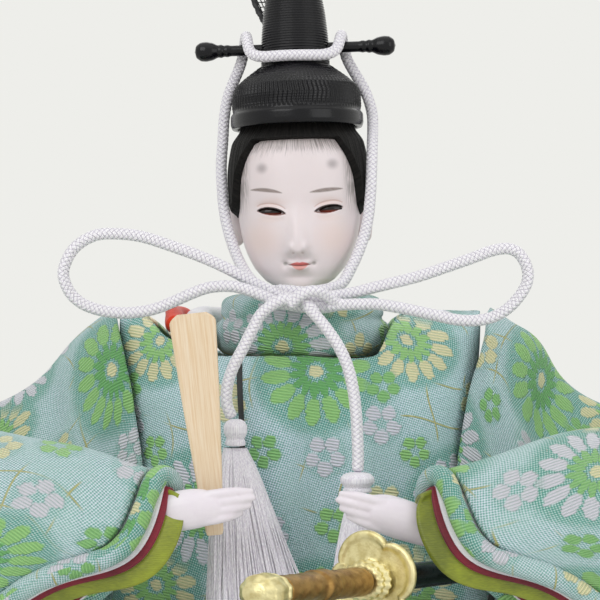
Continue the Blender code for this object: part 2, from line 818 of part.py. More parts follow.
def with_nose(ring):
    """Draws the front of a level out into the nose, deepest at the tip."""
    shaped = []
    for x, y, z in ring:
        out = 0.0
        if y < 0 and z < NOSE_ROOT_Z:
            rise = smooth_step(NOSE_ROOT_Z, NOSE_TIP_Z, z)
            under = smooth_step(NOSE_TIP_Z - NOSE_OUT, NOSE_TIP_Z - NOSE_OUT / 4, z)
            out = NOSE_OUT * rise * under * math.exp(-((x / NOSE_HALF_W) ** 2))
        shaped.append((x, y - out, z))
    return shaped


def head_levels(count):
    """The head's levels, with more of them than the table holds."""
    table = [(share[0], *share) for share in HEAD_SHARES]
    low = HEAD_SHARES[0][0]
    return [tuple(along(table, low + (1 - low) * i / (count - 1))) for i in range(count)]


def on_pivot(*items):
    for item in items:
        item.parent = bpy.data.objects["head_pivot"]


def make_pivot():
    pivot = bpy.data.objects.new("head_pivot", None)
    bpy.data.collections[PARTS].objects.link(pivot)
    pivot.location = (PIVOT_X, 0.0, PIVOT_Z)
    pivot.rotation_euler = (0.0, math.radians(HEAD_LEAN_DEG), math.radians(HEAD_TURN_DEG))


def make_head(look):
    levels = head_levels(HEAD_LEVELS)
    head = lofted("head", [with_nose(head_ring(level)) for level in levels], look["skin"])
    neck = lofted(
        "neck_shape",
        [ellipse_ring((0.0, 0.0, z), NECK_R, NECK_R) for z in (-NECK_LOW, NECK_HIGH)],
        cutter=True,
    )
    ears = [
        ellipsoid(f"ear_shape_{side}", (side * EAR_X, EAR_Y, EAR_Z), EAR_R, cutter=True, segments=10, rings=6)
        for side in (-1, 1)
    ]
    bore_r = DOWEL_R + GAP
    bore_top = DOWEL_HIGH + GAP
    bore_low = -NECK_LOW - OVERRUN
    bore = turned(
        "dowel_bore",
        ((0.0, bore_top), (bore_r, bore_top), (bore_r, bore_low), (0.0, bore_low)),
        steps=16,
        cutter=True,
    )
    sockets = []
    for side, name in ((-1, "right"), (1, "left")):
        x = side * EYE_X
        front = -HEAD_FRONT + EYE_SINK
        grown = [radius + GAP for radius in EYE_R]
        place = (x, front, EYE_Z)
        sockets.append(ellipsoid(f"eye_socket_{name}", place, grown, cutter=True, segments=12, rings=8))
        eye = ellipsoid(f"eye_{name}", place, EYE_R, look["glass"], segments=12, rings=8)
        on_pivot(eye)
    join(head, neck, *ears)
    cut(head, bore, *sockets)
    on_pivot(head, neck, bore, *ears, *sockets)


def make_dowel(look):
    dowel = turned(
        "neck_dowel",
        ((0.0, DOWEL_HIGH), (DOWEL_R, DOWEL_HIGH), (DOWEL_R, -DOWEL_LOW), (0.0, -DOWEL_LOW)),
        look["bamboo"],
        steps=16,
    )
    on_pivot(dowel)


def hair_grow(height):
    """How far the hair stands off the head: full at the temples, thin under the cap."""
    up = smooth_step(HAIRLINE_Z, CAP_Z, height)
    low = smooth_step(HAIR_LOW_Z - HAIR_GROW, HAIR_LOW_Z + 2 * HAIR_GROW, height)
    full = HAIR_GROW * low + HAIR_TOP_GROW * (1 - low)
    return full * (1 - up) + HAIR_TOP_GROW * up


def make_hair(look):
    all_levels = head_levels(HEAD_LEVELS)
    levels = [level for level in all_levels if HEAD_HEIGHT * level[0] > HAIR_LOW_Z - 3 * HAIR_GROW]
    rings = [head_ring(level, hair_grow(HEAD_HEIGHT * level[0])) for level in levels]
    top = head_ring(levels[-1], HAIR_TOP_GROW, HAIR_GROW)
    hair = lofted("hair", [*rings, top], look["silk_black"])
    inner_levels = [level for level in all_levels if HEAD_HEIGHT * level[0] > HAIR_LOW_Z - 4 * HAIR_GROW]
    inner = [head_ring(level, GAP) for level in inner_levels]
    inner.insert(0, head_ring(inner_levels[0], GAP, -OVERRUN))
    inner.append(head_ring(inner_levels[-1], GAP, GAP))
    skull = lofted("skull_shape", inner, cutter=True)
    outline = [(LOCK_HALF_W * wide, HAIRLINE_Z * high) for wide, high in LOCK_SHARES]
    outline.append((outline[-1][0] + HAIR_GROW, 0.0))
    full = outline + [(-x, z) for x, z in outline[::-1]]
    front = -2 * HEAD_FRONT
    face = lofted("face_opening", [[(x, y, z) for x, z in full] for y in (front, FACE_BACK)], cutter=True)
    nape = [(HEAD_BACK * y, HAIR_LOW_Z * z) for y, z in NAPE_SHARES]
    nape += [(nape[-1][0], -HAIR_LOW_Z), (nape[0][0], -HAIR_LOW_Z)]
    wide = 2 * HEAD_HALF_W
    below = lofted("nape_opening", [[(x, y, z) for y, z in nape] for x in (-wide, wide)], cutter=True)
    cut(hair, skull, face, below)
    on_pivot(hair, skull, face, below)


def make_cap(look):
    outer = [(CAP_HALF_W * r, CAP_Z + CAP_H * z) for r, z in CAP_OUTER_SHARES]
    inner = [(CAP_HALF_W * r, CAP_Z + CAP_H * z) for r, z in CAP_INNER_SHARES]
    profile = [(0.0, outer[0][1]), *outer, *inner, (0.0, inner[-1][1])]
    bowl = turned("cap_bowl", profile, look["lacquer"], steps=24)
    bowl.scale = (1.0, CAP_HALF_D / CAP_HALF_W, 1.0)
    bowl.location = (0.0, CAP_Y, 0.0)
    foot = CAP_Z + CAP_H + GAP
    rings = []
    for wide, high in TOWER_SHARES:
        centre = (0.0, TOWER_Y + TOWER_LEAN * high, foot + TOWER_H * high)
        rings.append(ellipse_ring(centre, TOWER_HALF_W * wide, TOWER_HALF_D * wide))
    tower = lofted("cap_tower", rings, look["lacquer"])
    bore = tube_mesh(
        "pin_bore",
        [(-PIN_HALF, TOWER_Y, PIN_Z), (PIN_HALF, TOWER_Y, PIN_Z)],
        PIN_R + GAP,
        cutter=True,
    )
    cut(tower, bore)
    half = [(PIN_KNOB_R * r, PIN_HALF * z) for r, z in PIN_SHARES]
    whole = half + [(r, -z) for r, z in half[-2::-1]]
    pin = turned("cap_pin", whole, look["lacquer"], steps=14)
    pin.rotation_euler = (0.0, math.pi / 2, 0.0)
    pin.location = (0.0, TOWER_Y, PIN_Z)
    on_pivot(bowl, tower, bore, pin)


def tail_side(height):
    """The tail's left and right edges at a share of its height."""
    share = float(along(TAIL_SIDE_SHARES, height)[0])
    middle = (TAIL_RIGHT - TAIL_LEFT) / 2 * float(along(TAIL_SHIFT_SHARES, height)[0])
    half = (TAIL_RIGHT + TAIL_LEFT) / 2 * share
    return middle - half, middle + half


def tail_point(u, height, foot_z, y, pull=0.0):
    left, right = tail_side(height)
    left += pull
    right -= pull
    z = foot_z + TAIL_H * height
    return (left + (right - left) * u, y + TAIL_BACK_LEAN * height, z)


def make_tail(look):
    socket_y = TOWER_Y + TOWER_HALF_D + TOWER_LEAN / 2 + GAP + SOCKET_D / 2
    socket_z = CAP_Z + CAP_H + GAP
    socket = box(
        "tail_socket",
        (0.0, socket_y, socket_z + SOCKET_H / 2),
        (SOCKET_W, SOCKET_D, SOCKET_H),
        look["lacquer"],
    )
    slot = box(
        "tail_slot",
        (0.0, socket_y, socket_z + SOCKET_FLOOR + (SOCKET_H + OVERRUN) / 2),
        (TENON_W + 2 * GAP, TENON_T + 2 * GAP, SOCKET_H + OVERRUN),
        cutter=True,
    )
    cut(socket, slot)
    foot_z = socket_z + SOCKET_H + TAIL_FOOT
    low, high = TAIL_SIDE_SHARES[0][0], TAIL_SIDE_SHARES[-1][0]
    heights = [low + (high - low) * i / TAIL_SIDE_STEPS for i in range(TAIL_SIDE_STEPS + 1)]
    left_side = [tail_point(0.0, h, foot_z, socket_y) for h in heights]
    right_side = [tail_point(1.0, h, foot_z, socket_y) for h in heights]
    top = tail_point(0.5, 1.0, foot_z, socket_y)
    loop = smooth_route([*left_side, top, *right_side[::-1]], 12 * TAIL_EDGE_R)
    frame = tube_mesh("tail_frame", loop, TAIL_EDGE_R, look["lacquer"])
    bar_z = foot_z - TAIL_FOOT / 2
    left, right = tail_side(0.0)
    bar = box(
        "tail_bar_shape",
        ((left + right) / 2, socket_y, bar_z + GAP),
        (right - left + 2 * TAIL_EDGE_R, TENON_T, TAIL_FOOT),
        cutter=True,
    )
    tenon_low = socket_z + SOCKET_FLOOR + GAP
    tenon = box(
        "tail_tenon_shape",
        (0.0, socket_y, (tenon_low + bar_z) / 2),
        (TENON_W, TENON_T, bar_z - tenon_low),
        cutter=True,
    )
    join(frame, bar, tenon)
    bm = bmesh.new()
    inset = TAIL_EDGE_R + NET_BAR + 3 * GAP
    rows = []
    for j in range(NET_ROWS + 1):
        height = NET_LOW_SHARE + (NET_HIGH_SHARE - NET_LOW_SHARE) * j / NET_ROWS
        line = [tail_point(i / NET_COLUMNS, height, foot_z, socket_y, inset) for i in range(NET_COLUMNS + 1)]
        rows.append([bm.verts.new(point) for point in line])
    for lower, upper in zip(rows, rows[1:]):
        for i in range(NET_COLUMNS):
            bm.faces.new((lower[i], lower[i + 1], upper[i + 1], upper[i]))
    net = add("tail_net", mesh_from("tail_net", bm), look["net"], smooth=False)
    wires = net.modifiers.new("Bars", "WIREFRAME")
    wires.thickness = NET_BAR
    wires.use_boundary = True
    wires.use_even_offset = False
    wires.use_replace = True
    on_pivot(socket, slot, frame, bar, tenon, net)


def make_cords(look):
    routes = (
        ("chin_cord", CHIN_CORD_ROUTE),
        ("bow_loop_right", LOOP_RIGHT_ROUTE),
        ("bow_loop_left", LOOP_LEFT_ROUTE),
        ("cord_tail_right", TAIL_RIGHT_ROUTE),
        ("cord_tail_left", TAIL_LEFT_ROUTE),
    )
    for name, route in routes:
        step = CHIN_CORD_STEP if name == "chin_cord" else CORD_STEP
        cord = tube(name, smooth_route(route, step), CORD_R, look["cord"])
        cord.location.z = PIVOT_Z
    knot = ellipsoid("bow_knot", KNOT_AT, KNOT_R, look["cord"], segments=14, rings=8)
    knot.location.z = PIVOT_Z


def make_tassel(side, top, head_size, skirt_size, drift, look):
    radius, height = head_size
    length, half_w = skirt_size
    profile = [(radius * r, height * z) for r, z in TASSEL_HEAD_SHARES]
    head = turned(f"tassel_head_{side}", [(0.0, 0.0), *profile], look["cord"], steps=16)
    head.location = (top[0], top[1], PIVOT_Z + top[2])
    rings = []
    for wide, down in SKIRT_SHARES:
        centre = (
            top[0] + drift[0] * down,
            top[1] + drift[1] * down,
            top[2] - height - GAP - length * down,
        )
        rings.append(ellipse_ring(centre, half_w * wide, half_w * wide * SKIRT_DEPTH_SHARE, 16))
    skirt = lofted(f"tassel_skirt_{side}", rings[::-1], look["thread"])
    skirt.location.z = PIVOT_Z


def robe_point(degrees, z, out=0.0):
    """A point on the robe: degrees round from the front middle, towards +X, at a height."""
    wide, front, back = along(ROBE_SHARES, z / ROBE_TOP)
    a = math.radians(degrees)
    s = math.sin(a)
    c = math.cos(a)
    reach = ROBE_FRONT * front if c > 0 else ROBE_BACK * back
    x = (ROBE_HALF_W * wide + out) * s
    y = -(reach + out) * math.copysign(abs(c) ** ROBE_SQUARE_SHARE, c)
    return (x, y, z)


def neck_edge(degrees):
    """The height of the robe's upper edge, low round the neck and up to the shoulders."""
    share = math.sin(math.radians(degrees))
    rise = float(along(NECK_LEFT_SHARES if share > 0 else NECK_RIGHT_SHARES, abs(share))[0])
    return NECK_EDGE_Z + (ROBE_TOP - NECK_EDGE_Z) * rise


def robe_panel(name, from_deg, to_deg, look, side_from=None, side_to=None, columns=12, wrap=False):
    """A panel of the robe from hem to neck; side_from and side_to give its edge at each height."""
    rows = []
    even = [ROBE_TOP * share[0] for share in ROBE_SHARES if share[0] < NECK_FROM_SHARE]
    even[0] = HEM_Z
    for j in range(len(even) + NECK_ROWS):
        row = []
        for i in range(columns + 1):
            top_deg = from_deg + (to_deg - from_deg) * i / columns
            if j < len(even):
                z = even[j]
            else:
                z = even[-1] + (neck_edge(top_deg) - even[-1]) * (j - len(even) + 1) / NECK_ROWS
            low = smooth_step(SIDE_HIGH_Z, SIDE_LOW_Z, z)
            start = from_deg if side_from is None else from_deg + (side_from - from_deg) * low
            end = to_deg if side_to is None else to_deg + (side_to - to_deg) * low
            degrees = start + (end - start) * i / columns
            out = 0.0
            if wrap:
                out = WRAP_OUT * (1 - smooth_step(WRAP_TO_DEG / 2, -WRAP_TO_DEG, degrees))
            row.append(robe_point(degrees, z, out))
        rows.append(row)
    return cloth(name, rows, CLOTH, look)


def make_robe(look):
    brocade = look["brocade"]
    robe_panel("robe_front_right", -SIDE_TOP_DEG, WRAP_TO_DEG, brocade, side_from=-SIDE_LOW_DEG, columns=8)
    robe_panel(
        "robe_front_left",
        WRAP_FROM_DEG,
        SIDE_TOP_DEG,
        brocade,
        side_to=SIDE_LOW_DEG,
        columns=10,
        wrap=True,
    )
    robe_panel(
        "robe_back",
        BACK_TOP_DEG,
        FULL_DEG - BACK_TOP_DEG,
        brocade,
        side_from=BACK_LOW_DEG,
        side_to=FULL_DEG - BACK_LOW_DEG,
        columns=12,
    )
    out = CLOTH / 2 + WRAP_OUT + BELT_T / 2 + 6 * GAP
    rows = []
    for j in range(BELT_ROWS + 1):
        z = BELT_LOW + BELT_H * j / BELT_ROWS
        rows.append([robe_point(FULL_DEG * i / BELT_COLUMNS, z, out) for i in range(BELT_COLUMNS)])
    cloth("belt", rows, BELT_T, look["belt"], closed=True)


def make_collars(look):
    profile = [(COLLAR_R * r, COLLAR_Z + COLLAR_H * z) for r, z in COLLAR_SHARES]
    collar = turned("collar", profile, look["brocade"], steps=24, closed=True)
    collar.location = (COLLAR_X, COLLAR_Y, 0.0)
    outer = COLLAR_R * COLLAR_SHARES[-1][0] - GAP
    inner = outer - INNER_COLLAR_T
    low = COLLAR_Z
    high = COLLAR_Z + COLLAR_H + INNER_COLLAR_RISE
    ring = turned(
        "collar_inner",
        ((inner, high), (outer, high), (outer, low), (inner, low)),
        look["silk_white"],
        closed=True,
    )
    ring.location = (COLLAR_X, COLLAR_Y, 0.0)
    for name, route, radius, silk in (
        ("collar_white", WHITE_ROLL_ROUTE, WHITE_ROLL_R, "silk_white"),
        ("collar_red", RED_ROLL_ROUTE, RED_ROLL_R, "silk_red"),
    ):
        roll = tube(name, smooth_route(route, 2 * radius), radius, look[silk])
        roll.location.z = COLLAR_Z


def sleeve_point(t, s, side):
    """The sleeve's sheet: t from armhole to mouth, s from the outer hem over the arm to the inner hem."""
    sections = [through(station, s) for station in SLEEVE_STATIONS_SHARES]
    x, y, z = through(sections, t)
    wide = SLEEVE_INNER + (SLEEVE_W - SLEEVE_INNER) * x
    return np.array((side * wide, -SLEEVE_D * y, max(SLEEVE_Z * z, HEM_Z + CLOTH)))


def into_sleeve(t, s, side, inward):
    """A point of the sleeve's sheet moved into the sleeve."""
    small = SLEEVE_SLOPE_SHARE
    here = sleeve_point(t, s, side)
    across = sleeve_point(min(t + small, 1.0), s, side) - sleeve_point(max(t - small, 0.0), s, side)
    down = sleeve_point(t, min(s + small, 1.0), side) - sleeve_point(t, max(s - small, 0.0), side)
    normal = np.cross(across, down)
    return here + side * inward * normal / np.linalg.norm(normal)


def make_sleeve(side, name, look):
    t_all = np.linspace(0.0, 1.0, SLEEVE_ROWS)
    s_all = np.linspace(0.0, 1.0, SLEEVE_COLUMNS)
    outer = [[sleeve_point(t, s, side) for s in s_all] for t in t_all]
    cloth(f"sleeve_{name}", outer, CLOTH, look["brocade"])
    offset = CLOTH / 2 + LINING_GAP + LINING / 2
    s_lining = s_all[LINING_SIDE_COLUMNS:-LINING_SIDE_COLUMNS]
    for colour, back in zip(("white", "crimson", "olive"), LINING_BACK_SHARES):
        grid = [[into_sleeve(t, s, side, offset) for s in s_lining] for t in t_all[-LINING_ROWS:]]
        grid[-1] = [(1 - back) * last + back * before for last, before in zip(grid[-1], grid[-2])]
        cloth(f"lining_{colour}_{name}", grid, LINING, look[f"lining_{colour}"])
        offset += LINING + LINING_GAP
    edge = []
    for s in s_all:
        here = sleeve_point(1.0, s, side)
        out = here - sleeve_point(1.0 - SLEEVE_SLOPE_SHARE, s, side)
        edge.append(here + out / np.linalg.norm(out) * (SLEEVE_EDGE_R + CLOTH / 2 + 4 * GAP))
    edge = [point for point in edge if point[2] > SLEEVE_EDGE_R + HEM_Z]
    tube(f"sleeve_edge_{name}", edge, SLEEVE_EDGE_R, look["brocade"])


def arm_line(side):
    """The arm's middle line, out to the elbow inside the sleeve and back to the wrist."""
    reach = SLEEVE_INNER + (SLEEVE_W - SLEEVE_INNER) * ARM_REACH_SHARE
    wrist = abs(HAND_RIGHT_AT[0]) + WRIST_FROM_HAND
    elbow = SLEEVE_Z * ELBOW_Z_SHARE
    rise = ROBE_TOP - SHOULDER_DROP - elbow
    upper = [(reach * x, SLEEVE_D * y, elbow + rise * z) for x, y, z in UPPER_ARM_SHARES]
    fore = [(wrist + (reach - wrist) * x, SLEEVE_D * y, SLEEVE_Z * z) for x, y, z in FOREARM_SHARES]
    return [(side * x, y, z) for x, y, z in upper + fore]


def first_outside(route):
    """The first point of an arm's line that lies beside the chest padding."""
    return next(i for i, point in enumerate(route) if abs(point[0]) > PAD_HALF_W + 2 * GAP)


def make_arms(look):
    right = smooth_route(arm_line(-1), WIRE_STEP)
    left = smooth_route(arm_line(1), WIRE_STEP)
    tube("arm_wire", [*right[::-1], *left[1:]], WIRE_R, look["wire"])
    for side, name in ((-1, "right"), (1, "left")):
        route = smooth_route(arm_line(side), WIRE_STEP)
        path = route[first_outside(route):-2]
        last = len(path) - 1
        thin = 1.0 - WRIST_PAD_R / ARM_PAD_R
        radii = [1.0 - thin * smooth_step(*WRIST_TAPER_SHARES, i / last) for i in range(last + 1)]
        pad = tube_mesh(f"arm_pad_{name}", path, ARM_PAD_R, look["cotton"], radii=radii)
        bore = tube_mesh(f"arm_bore_{name}", route, WIRE_R + GAP, cutter=True)
        cut(pad, bore)


def make_body(look):
    board = box(
        "base_board",
        (0.0, 0.0, BASE_T / 2),
        (BASE_W, BASE_D, BASE_T),
        look["wood"],
    )
    bevel = board.modifiers.new("Edge", "BEVEL")
    bevel.width = BASE_EDGE
    bevel.segments = 1
    low = BASE_T + GAP
    profile = [(STRAW_HALF_W * r, low + (STRAW_TOP - low) * z) for r, z in STRAW_SHARES]
    whole = [(0.0, profile[0][1]), *profile, (0.0, profile[-1][1])]
    straw = turned("straw_body", whole, look["straw"], steps=22)
    straw.scale = (1.0, STRAW_DEPTH_SHARE, 1.0)
    swollen = [(r + 2 * GAP, z) for r, z in profile]
    swollen[0] = (swollen[0][0], swollen[0][1] + OVERRUN)
    around = [(0.0, swollen[0][1]), *swollen, (0.0, swollen[-1][1])]
    hollow = turned("straw_shape", around, steps=22, cutter=True)
    hollow.scale = (1.0, STRAW_DEPTH_SHARE, 1.0)
    pad_rings = []
    for share, high in PAD_SHARES:
        z = PAD_LOW + (PAD_HIGH - PAD_LOW) * high
        pad_rings.append(ellipse_ring((0.0, 0.0, z), PAD_HALF_W * share, PAD_HALF_D * share, 22))
    pad = lofted("chest_pad", pad_rings, look["cotton"])
    right = smooth_route(arm_line(-1), WIRE_STEP)
    left = smooth_route(arm_line(1), WIRE_STEP)
    near = first_outside(right) + 2
    right = right[:near]
    left = left[1:near]
    wire_bore = tube_mesh("wire_bore", [*right[::-1], *left], WIRE_R + GAP, cutter=True)
    sleeve_top = -(PIVOT_Z - STRAW_TOP)
    sleeve_low = sleeve_top - SLEEVE_PAPER_L
    paper = turned(
        "neck_sleeve",
        (
            (DOWEL_R + GAP, sleeve_top),
            (SLEEVE_PAPER_R, sleeve_top),
            (SLEEVE_PAPER_R, sleeve_low),
            (DOWEL_R + GAP, sleeve_low),
        ),
        look["paper"],
        steps=16,
        closed=True,
    )
    wide = SLEEVE_PAPER_R + GAP
    deep = sleeve_low - GAP
    neck_hole = turned(
        "neck_hole",
        ((0.0, sleeve_top + OVERRUN), (wide, sleeve_top + OVERRUN), (wide, deep), (0.0, deep)),
        steps=16,
        cutter=True,
    )
    on_pivot(paper, neck_hole)
    cut(straw, neck_hole, wire_bore)
    cut(pad, hollow, wire_bore)
    for side, name in ((-1, "right"), (1, "left")):
        place = (side * KNEE_AT[0], KNEE_AT[1], KNEE_AT[2])
        knee = ellipsoid(f"knee_{name}", place, KNEE_R, look["silk_white"], segments=16, rings=8)
        cut(knee, hollow)


def hand_shape(name, at, tilt_deg, side, look):
    """A hand with its fingers together, reaching from the wrist towards the middle."""
    toward = -side
    length = HAND_L
    palm = ellipsoid(name, (0.0, 0.0, 0.0), HAND_R, look["hand"], segments=12, rings=8)
    extra = []
    for k, (root_x, root_z, tip_x, tip_z) in enumerate(FINGER_SHARES):
        start = (toward * HAND_R[0] * root_x, 0.0, HAND_R[2] * root_z)
        tip = (toward * (length - HAND_R[0]) * tip_x, -HAND_R[1] * HAND_DIP_SHARE, HAND_R[2] * tip_z)
        middle = tuple((a + b) / 2 for a, b in zip(start, tip))
        radii = [1.0, 1.0, FINGER_TIP_R / FINGER_R]
        finger = tube_mesh(f"{name}_finger_{k}", [start, middle, tip], FINGER_R, cutter=True, radii=radii)
        extra.append(finger)
        swell = [FINGER_TIP_R * TIP_SWELL_SHARE] * 3
        extra.append(ellipsoid(f"{name}_tip_{k}", tip, swell, cutter=True, segments=8, rings=4))
    pivot = bpy.data.objects.new(f"{name}_pivot", None)
    bpy.data.collections[PARTS].objects.link(pivot)
    pivot.location = at
    pivot.rotation_euler = (0.0, math.radians(side * tilt_deg), 0.0)
    join(palm, *extra)
    for item in [palm, *extra]:
        item.parent = pivot
    return palm


def make_hands(look):
    for side, name, at, tilt in (
        (-1, "right", HAND_RIGHT_AT, HAND_RIGHT_TILT_DEG),
        (1, "left", HAND_LEFT_AT, HAND_LEFT_TILT_DEG),
    ):
        hand = hand_shape(f"hand_{name}", at, tilt, side, look)
        if side < 0:
            back_y = SHAKU_AT[1] + SHAKU_T / 2 + THUMB_R + GAP
            points = [
                (HAND_RIGHT_AT[0] + HAND_R[0] * x, at_y, HAND_RIGHT_AT[2] + HAND_R[2] * z)
                for (x, z), at_y in zip(THUMB_SHARES, (HAND_RIGHT_AT[1] + HAND_R[1] / 2, back_y, back_y))
            ]
            thumb = tube_mesh("thumb_shape", points, THUMB_R, cutter=True)
            join(hand, thumb)
            slot = box(
                "shaku_slot",
                (0.0, 0.0, 0.0),
                (2 * SHAKU_GRIP_HALF_W, SHAKU_T + 2 * GAP, 2 * HAND_L),
                cutter=True,
            )
            slot.parent = bpy.data.objects["shaku_pivot"]
            cut(hand, slot)
        wire = smooth_route(arm_line(side), WIRE_STEP)[-WRIST_POINTS:]
        beyond = (wire[-1] - wire[-2]) / np.linalg.norm(wire[-1] - wire[-2]) * GAP
        bore = tube_mesh(f"wrist_bore_{name}", [*wire[:-1], wire[-1] + beyond], WIRE_R + GAP, cutter=True)
        cut(hand, bore)


def make_shaku_pivot():
    pivot = bpy.data.objects.new("shaku_pivot", None)
    bpy.data.collections[PARTS].objects.link(pivot)
    pivot.location = SHAKU_AT
    pivot.rotation_euler = (0.0, math.radians(SHAKU_LEAN_DEG), 0.0)


def make_shaku(look):
    top = SHAKU_L
    wide = SHAKU_TOP_HALF_W
    foot = SHAKU_FOOT_HALF_W
    half = [(foot + (wide - foot) * x, top * y) for x, y in SHAKU_SIDE_SHARES]
    half += [(wide * x, top * y) for x, y in SHAKU_TOP_SHARES]
    outline = half + [(-x, y) for x, y in half[::-1]]
    board = flat_outline("shaku", outline, SHAKU_T / 2, look["pale_wood"])
    board.rotation_euler = (math.pi / 2, 0.0, 0.0)
    board.parent = bpy.data.objects["shaku_pivot"]


def make_sword_pivot():
    pivot = bpy.data.objects.new("sword_pivot", None)
    bpy.data.collections[PARTS].objects.link(pivot)
    axis = Vector(SWORD_AXIS).normalized()
    side = Vector((axis.y, -axis.x, 0.0)).normalized()
    up = axis.cross(side).normalized()
    if up.z < 0:
        side, up = -side, -up
    turn = Matrix((side, up, axis)).transposed().to_4x4()
    pivot.matrix_world = Matrix.Translation(Vector(SWORD_AT)) @ turn
    bpy.context.view_layer.update()


def make_sword(look):
    pivot = bpy.data.objects["sword_pivot"]
    outline = []
    for i in range(GUARD_POINTS):
        a = 2 * math.pi * i / GUARD_POINTS
        lobe = abs(math.sin(GUARD_LOBES / 2 * a + math.pi / 4)) ** GUARD_ROUND_SHARE
        r = GUARD_R * (1 - GUARD_DEPTH_SHARE * (1 - lobe))
        outline.append((r * math.cos(a), r * math.sin(a)))
    guard = flat_outline("sword_guard", outline, GUARD_T / 2, look["gold"])
    collar_low = GUARD_T / 2 + GAP
    collar_high = collar_low + SWORD_COLLAR_L
    collar_shape = [(SWORD_COLLAR_R * r, collar_low + SWORD_COLLAR_L * z) for r, z in SWORD_COLLAR_SHARES]
    collar_shape = [(0.0, collar_high), *collar_shape, (0.0, collar_low)]
    collar = turned("sword_collar", collar_shape, look["gold"], steps=20)
    grip_low = collar_high + GAP
    grip_high = grip_low + GRIP_L
    grip_shape = [(GRIP_R * r, grip_low + GRIP_L * z) for r, z in GRIP_SHARES]
    grip = turned("sword_grip", [(0.0, grip_high), *grip_shape, (0.0, grip_low)], look["bronze"], steps=20)
    pommel_low = grip_high + GAP
    pommel_shape = [(POMMEL_R * r, pommel_low + POMMEL_L * z) for r, z in POMMEL_SHARES]
    pommel = turned("sword_pommel", [*pommel_shape, (0.0, pommel_low)], look["gold"], steps=20)
    scabbard_high = -GUARD_T / 2 - GAP
    scabbard_low = scabbard_high - SCABBARD_L
    throat = scabbard_high - SCABBARD_THROAT_L
    scabbard = turned(
        "sword_scabbard",
        (
            (0.0, scabbard_high),
            (SCABBARD_R * SCABBARD_THROAT_SHARE, scabbard_high),
            (SCABBARD_R * SCABBARD_THROAT_SHARE, throat),
            (SCABBARD_R, throat),
            (SCABBARD_R * SCABBARD_TIP_SHARES[0], scabbard_low + SCABBARD_R),
            (SCABBARD_R * SCABBARD_TIP_SHARES[1], scabbard_low),
            (0.0, scabbard_low),
        ),
        look["lacquer"],
        steps=18,
    )
    hang_z = scabbard_high - SCABBARD_L * HANGER_AT_SHARE
    inner = SCABBARD_R + GAP
    loop = turned(
        "sword_hanger",
        (
            (inner, hang_z + HANGER_T),
            (inner + HANGER_T, hang_z + HANGER_T),
            (inner + HANGER_T, hang_z - HANGER_T),
            (inner, hang_z - HANGER_T),
        ),
        look["belt"],
        steps=20,
        closed=True,
    )
    strap_line = smooth_route(STRAP_ROUTE, 3 * HANGER_T)
    strap = tube_mesh("strap_shape", strap_line, HANGER_T * STRAP_SHARE, cutter=True)
    join(loop, strap)
    for item in (guard, collar, grip, pommel, scabbard, loop):
        item.parent = pivot
    for item in (collar, grip, pommel, scabbard):
        item.scale = (1.0, GRIP_FLAT_SHARE, 1.0)
    loop.scale = (1.0, HANGER_FLAT_SHARE, 1.0)


def make_looks():
    return {
        "skin": material("painted_skin", (0.80, 0.76, 0.74), 0.45),
        "glass": material("dark_glass", (0.05, 0.02, 0.015), 0.08),
        "silk_black": material("black_silk", (0.012, 0.012, 0.013), 0.6),
        "bamboo": material("bamboo", (0.66, 0.52, 0.30), 0.6),
        "lacquer": material("black_lacquer", (0.012, 0.012, 0.014), 0.25),
        "net": material("black_net", (0.015, 0.015, 0.017), 0.6),
        "cord": material("white_cord", (0.86, 0.84, 0.88), 0.6),
        "thread": material("white_thread", (0.84, 0.83, 0.86), 0.5),
        "brocade": material("green_brocade", (0.28, 0.47, 0.43), 0.75),
        "belt": material("black_cloth", (0.03, 0.03, 0.035), 0.6),
        "silk_white": material("white_silk", (0.85, 0.85, 0.86), 0.6),
        "silk_red": material("red_silk", (0.65, 0.06, 0.02), 0.6),
        "lining_white": material("lining_white", (0.83, 0.82, 0.85), 0.6),
        "lining_crimson": material("lining_crimson", (0.24, 0.01, 0.035), 0.6),
        "lining_olive": material("lining_olive", (0.32, 0.36, 0.05), 0.6),
        "wire": material("iron_wire", (0.25, 0.25, 0.26), 0.4, 1.0),
        "cotton": material("cotton", (0.82, 0.79, 0.70), 0.9),
        "wood": material("board_wood", (0.60, 0.43, 0.25), 0.6),
        "straw": material("straw", (0.66, 0.54, 0.28), 0.8),
        "paper": material("paper", (0.78, 0.74, 0.64), 0.8),
        "hand": material("painted_hand", (0.86, 0.84, 0.85), 0.35),
        "pale_wood": material("pale_wood", (0.80, 0.62, 0.42), 0.55),
        "gold": material("gilt_brass", (0.72, 0.53, 0.16), 0.28, 1.0),
        "bronze": material("bronze_grip", (0.38, 0.23, 0.06), 0.32, 1.0),
    }


def build():
    clear_scene()
    make_collection(PARTS)
    make_collection(CUTTERS)
    look = make_looks()
    make_pivot()
    make_shaku_pivot()
    make_sword_pivot()
    make_body(look)
    make_head(look)
    make_dowel(look)
    make_hair(look)
    make_cap(look)
    make_tail(look)
    make_cords(look)
    make_tassel(
        "right",
        TASSEL_RIGHT_TOP,
        (TASSEL_HEAD_R, TASSEL_HEAD_H),
        (SKIRT_RIGHT_L, SKIRT_RIGHT_HALF_W),
        SKIRT_RIGHT_DRIFT,
        look,
    )
    make_tassel(
        "left",
        TASSEL_LEFT_TOP,
        (TASSEL_KNOT_R, TASSEL_KNOT_H),
        (SKIRT_LEFT_L, SKIRT_LEFT_HALF_W),
        SKIRT_LEFT_DRIFT,
        look,
    )
    make_robe(look)
    make_collars(look)
    for side, name in ((-1, "right"), (1, "left")):
        make_sleeve(side, name, look)
    make_arms(look)
    make_hands(look)
    make_shaku(look)
    make_sword(look)


build()
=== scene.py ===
import math

import bmesh
import bpy
import numpy as np
from mathutils import Matrix, Vector


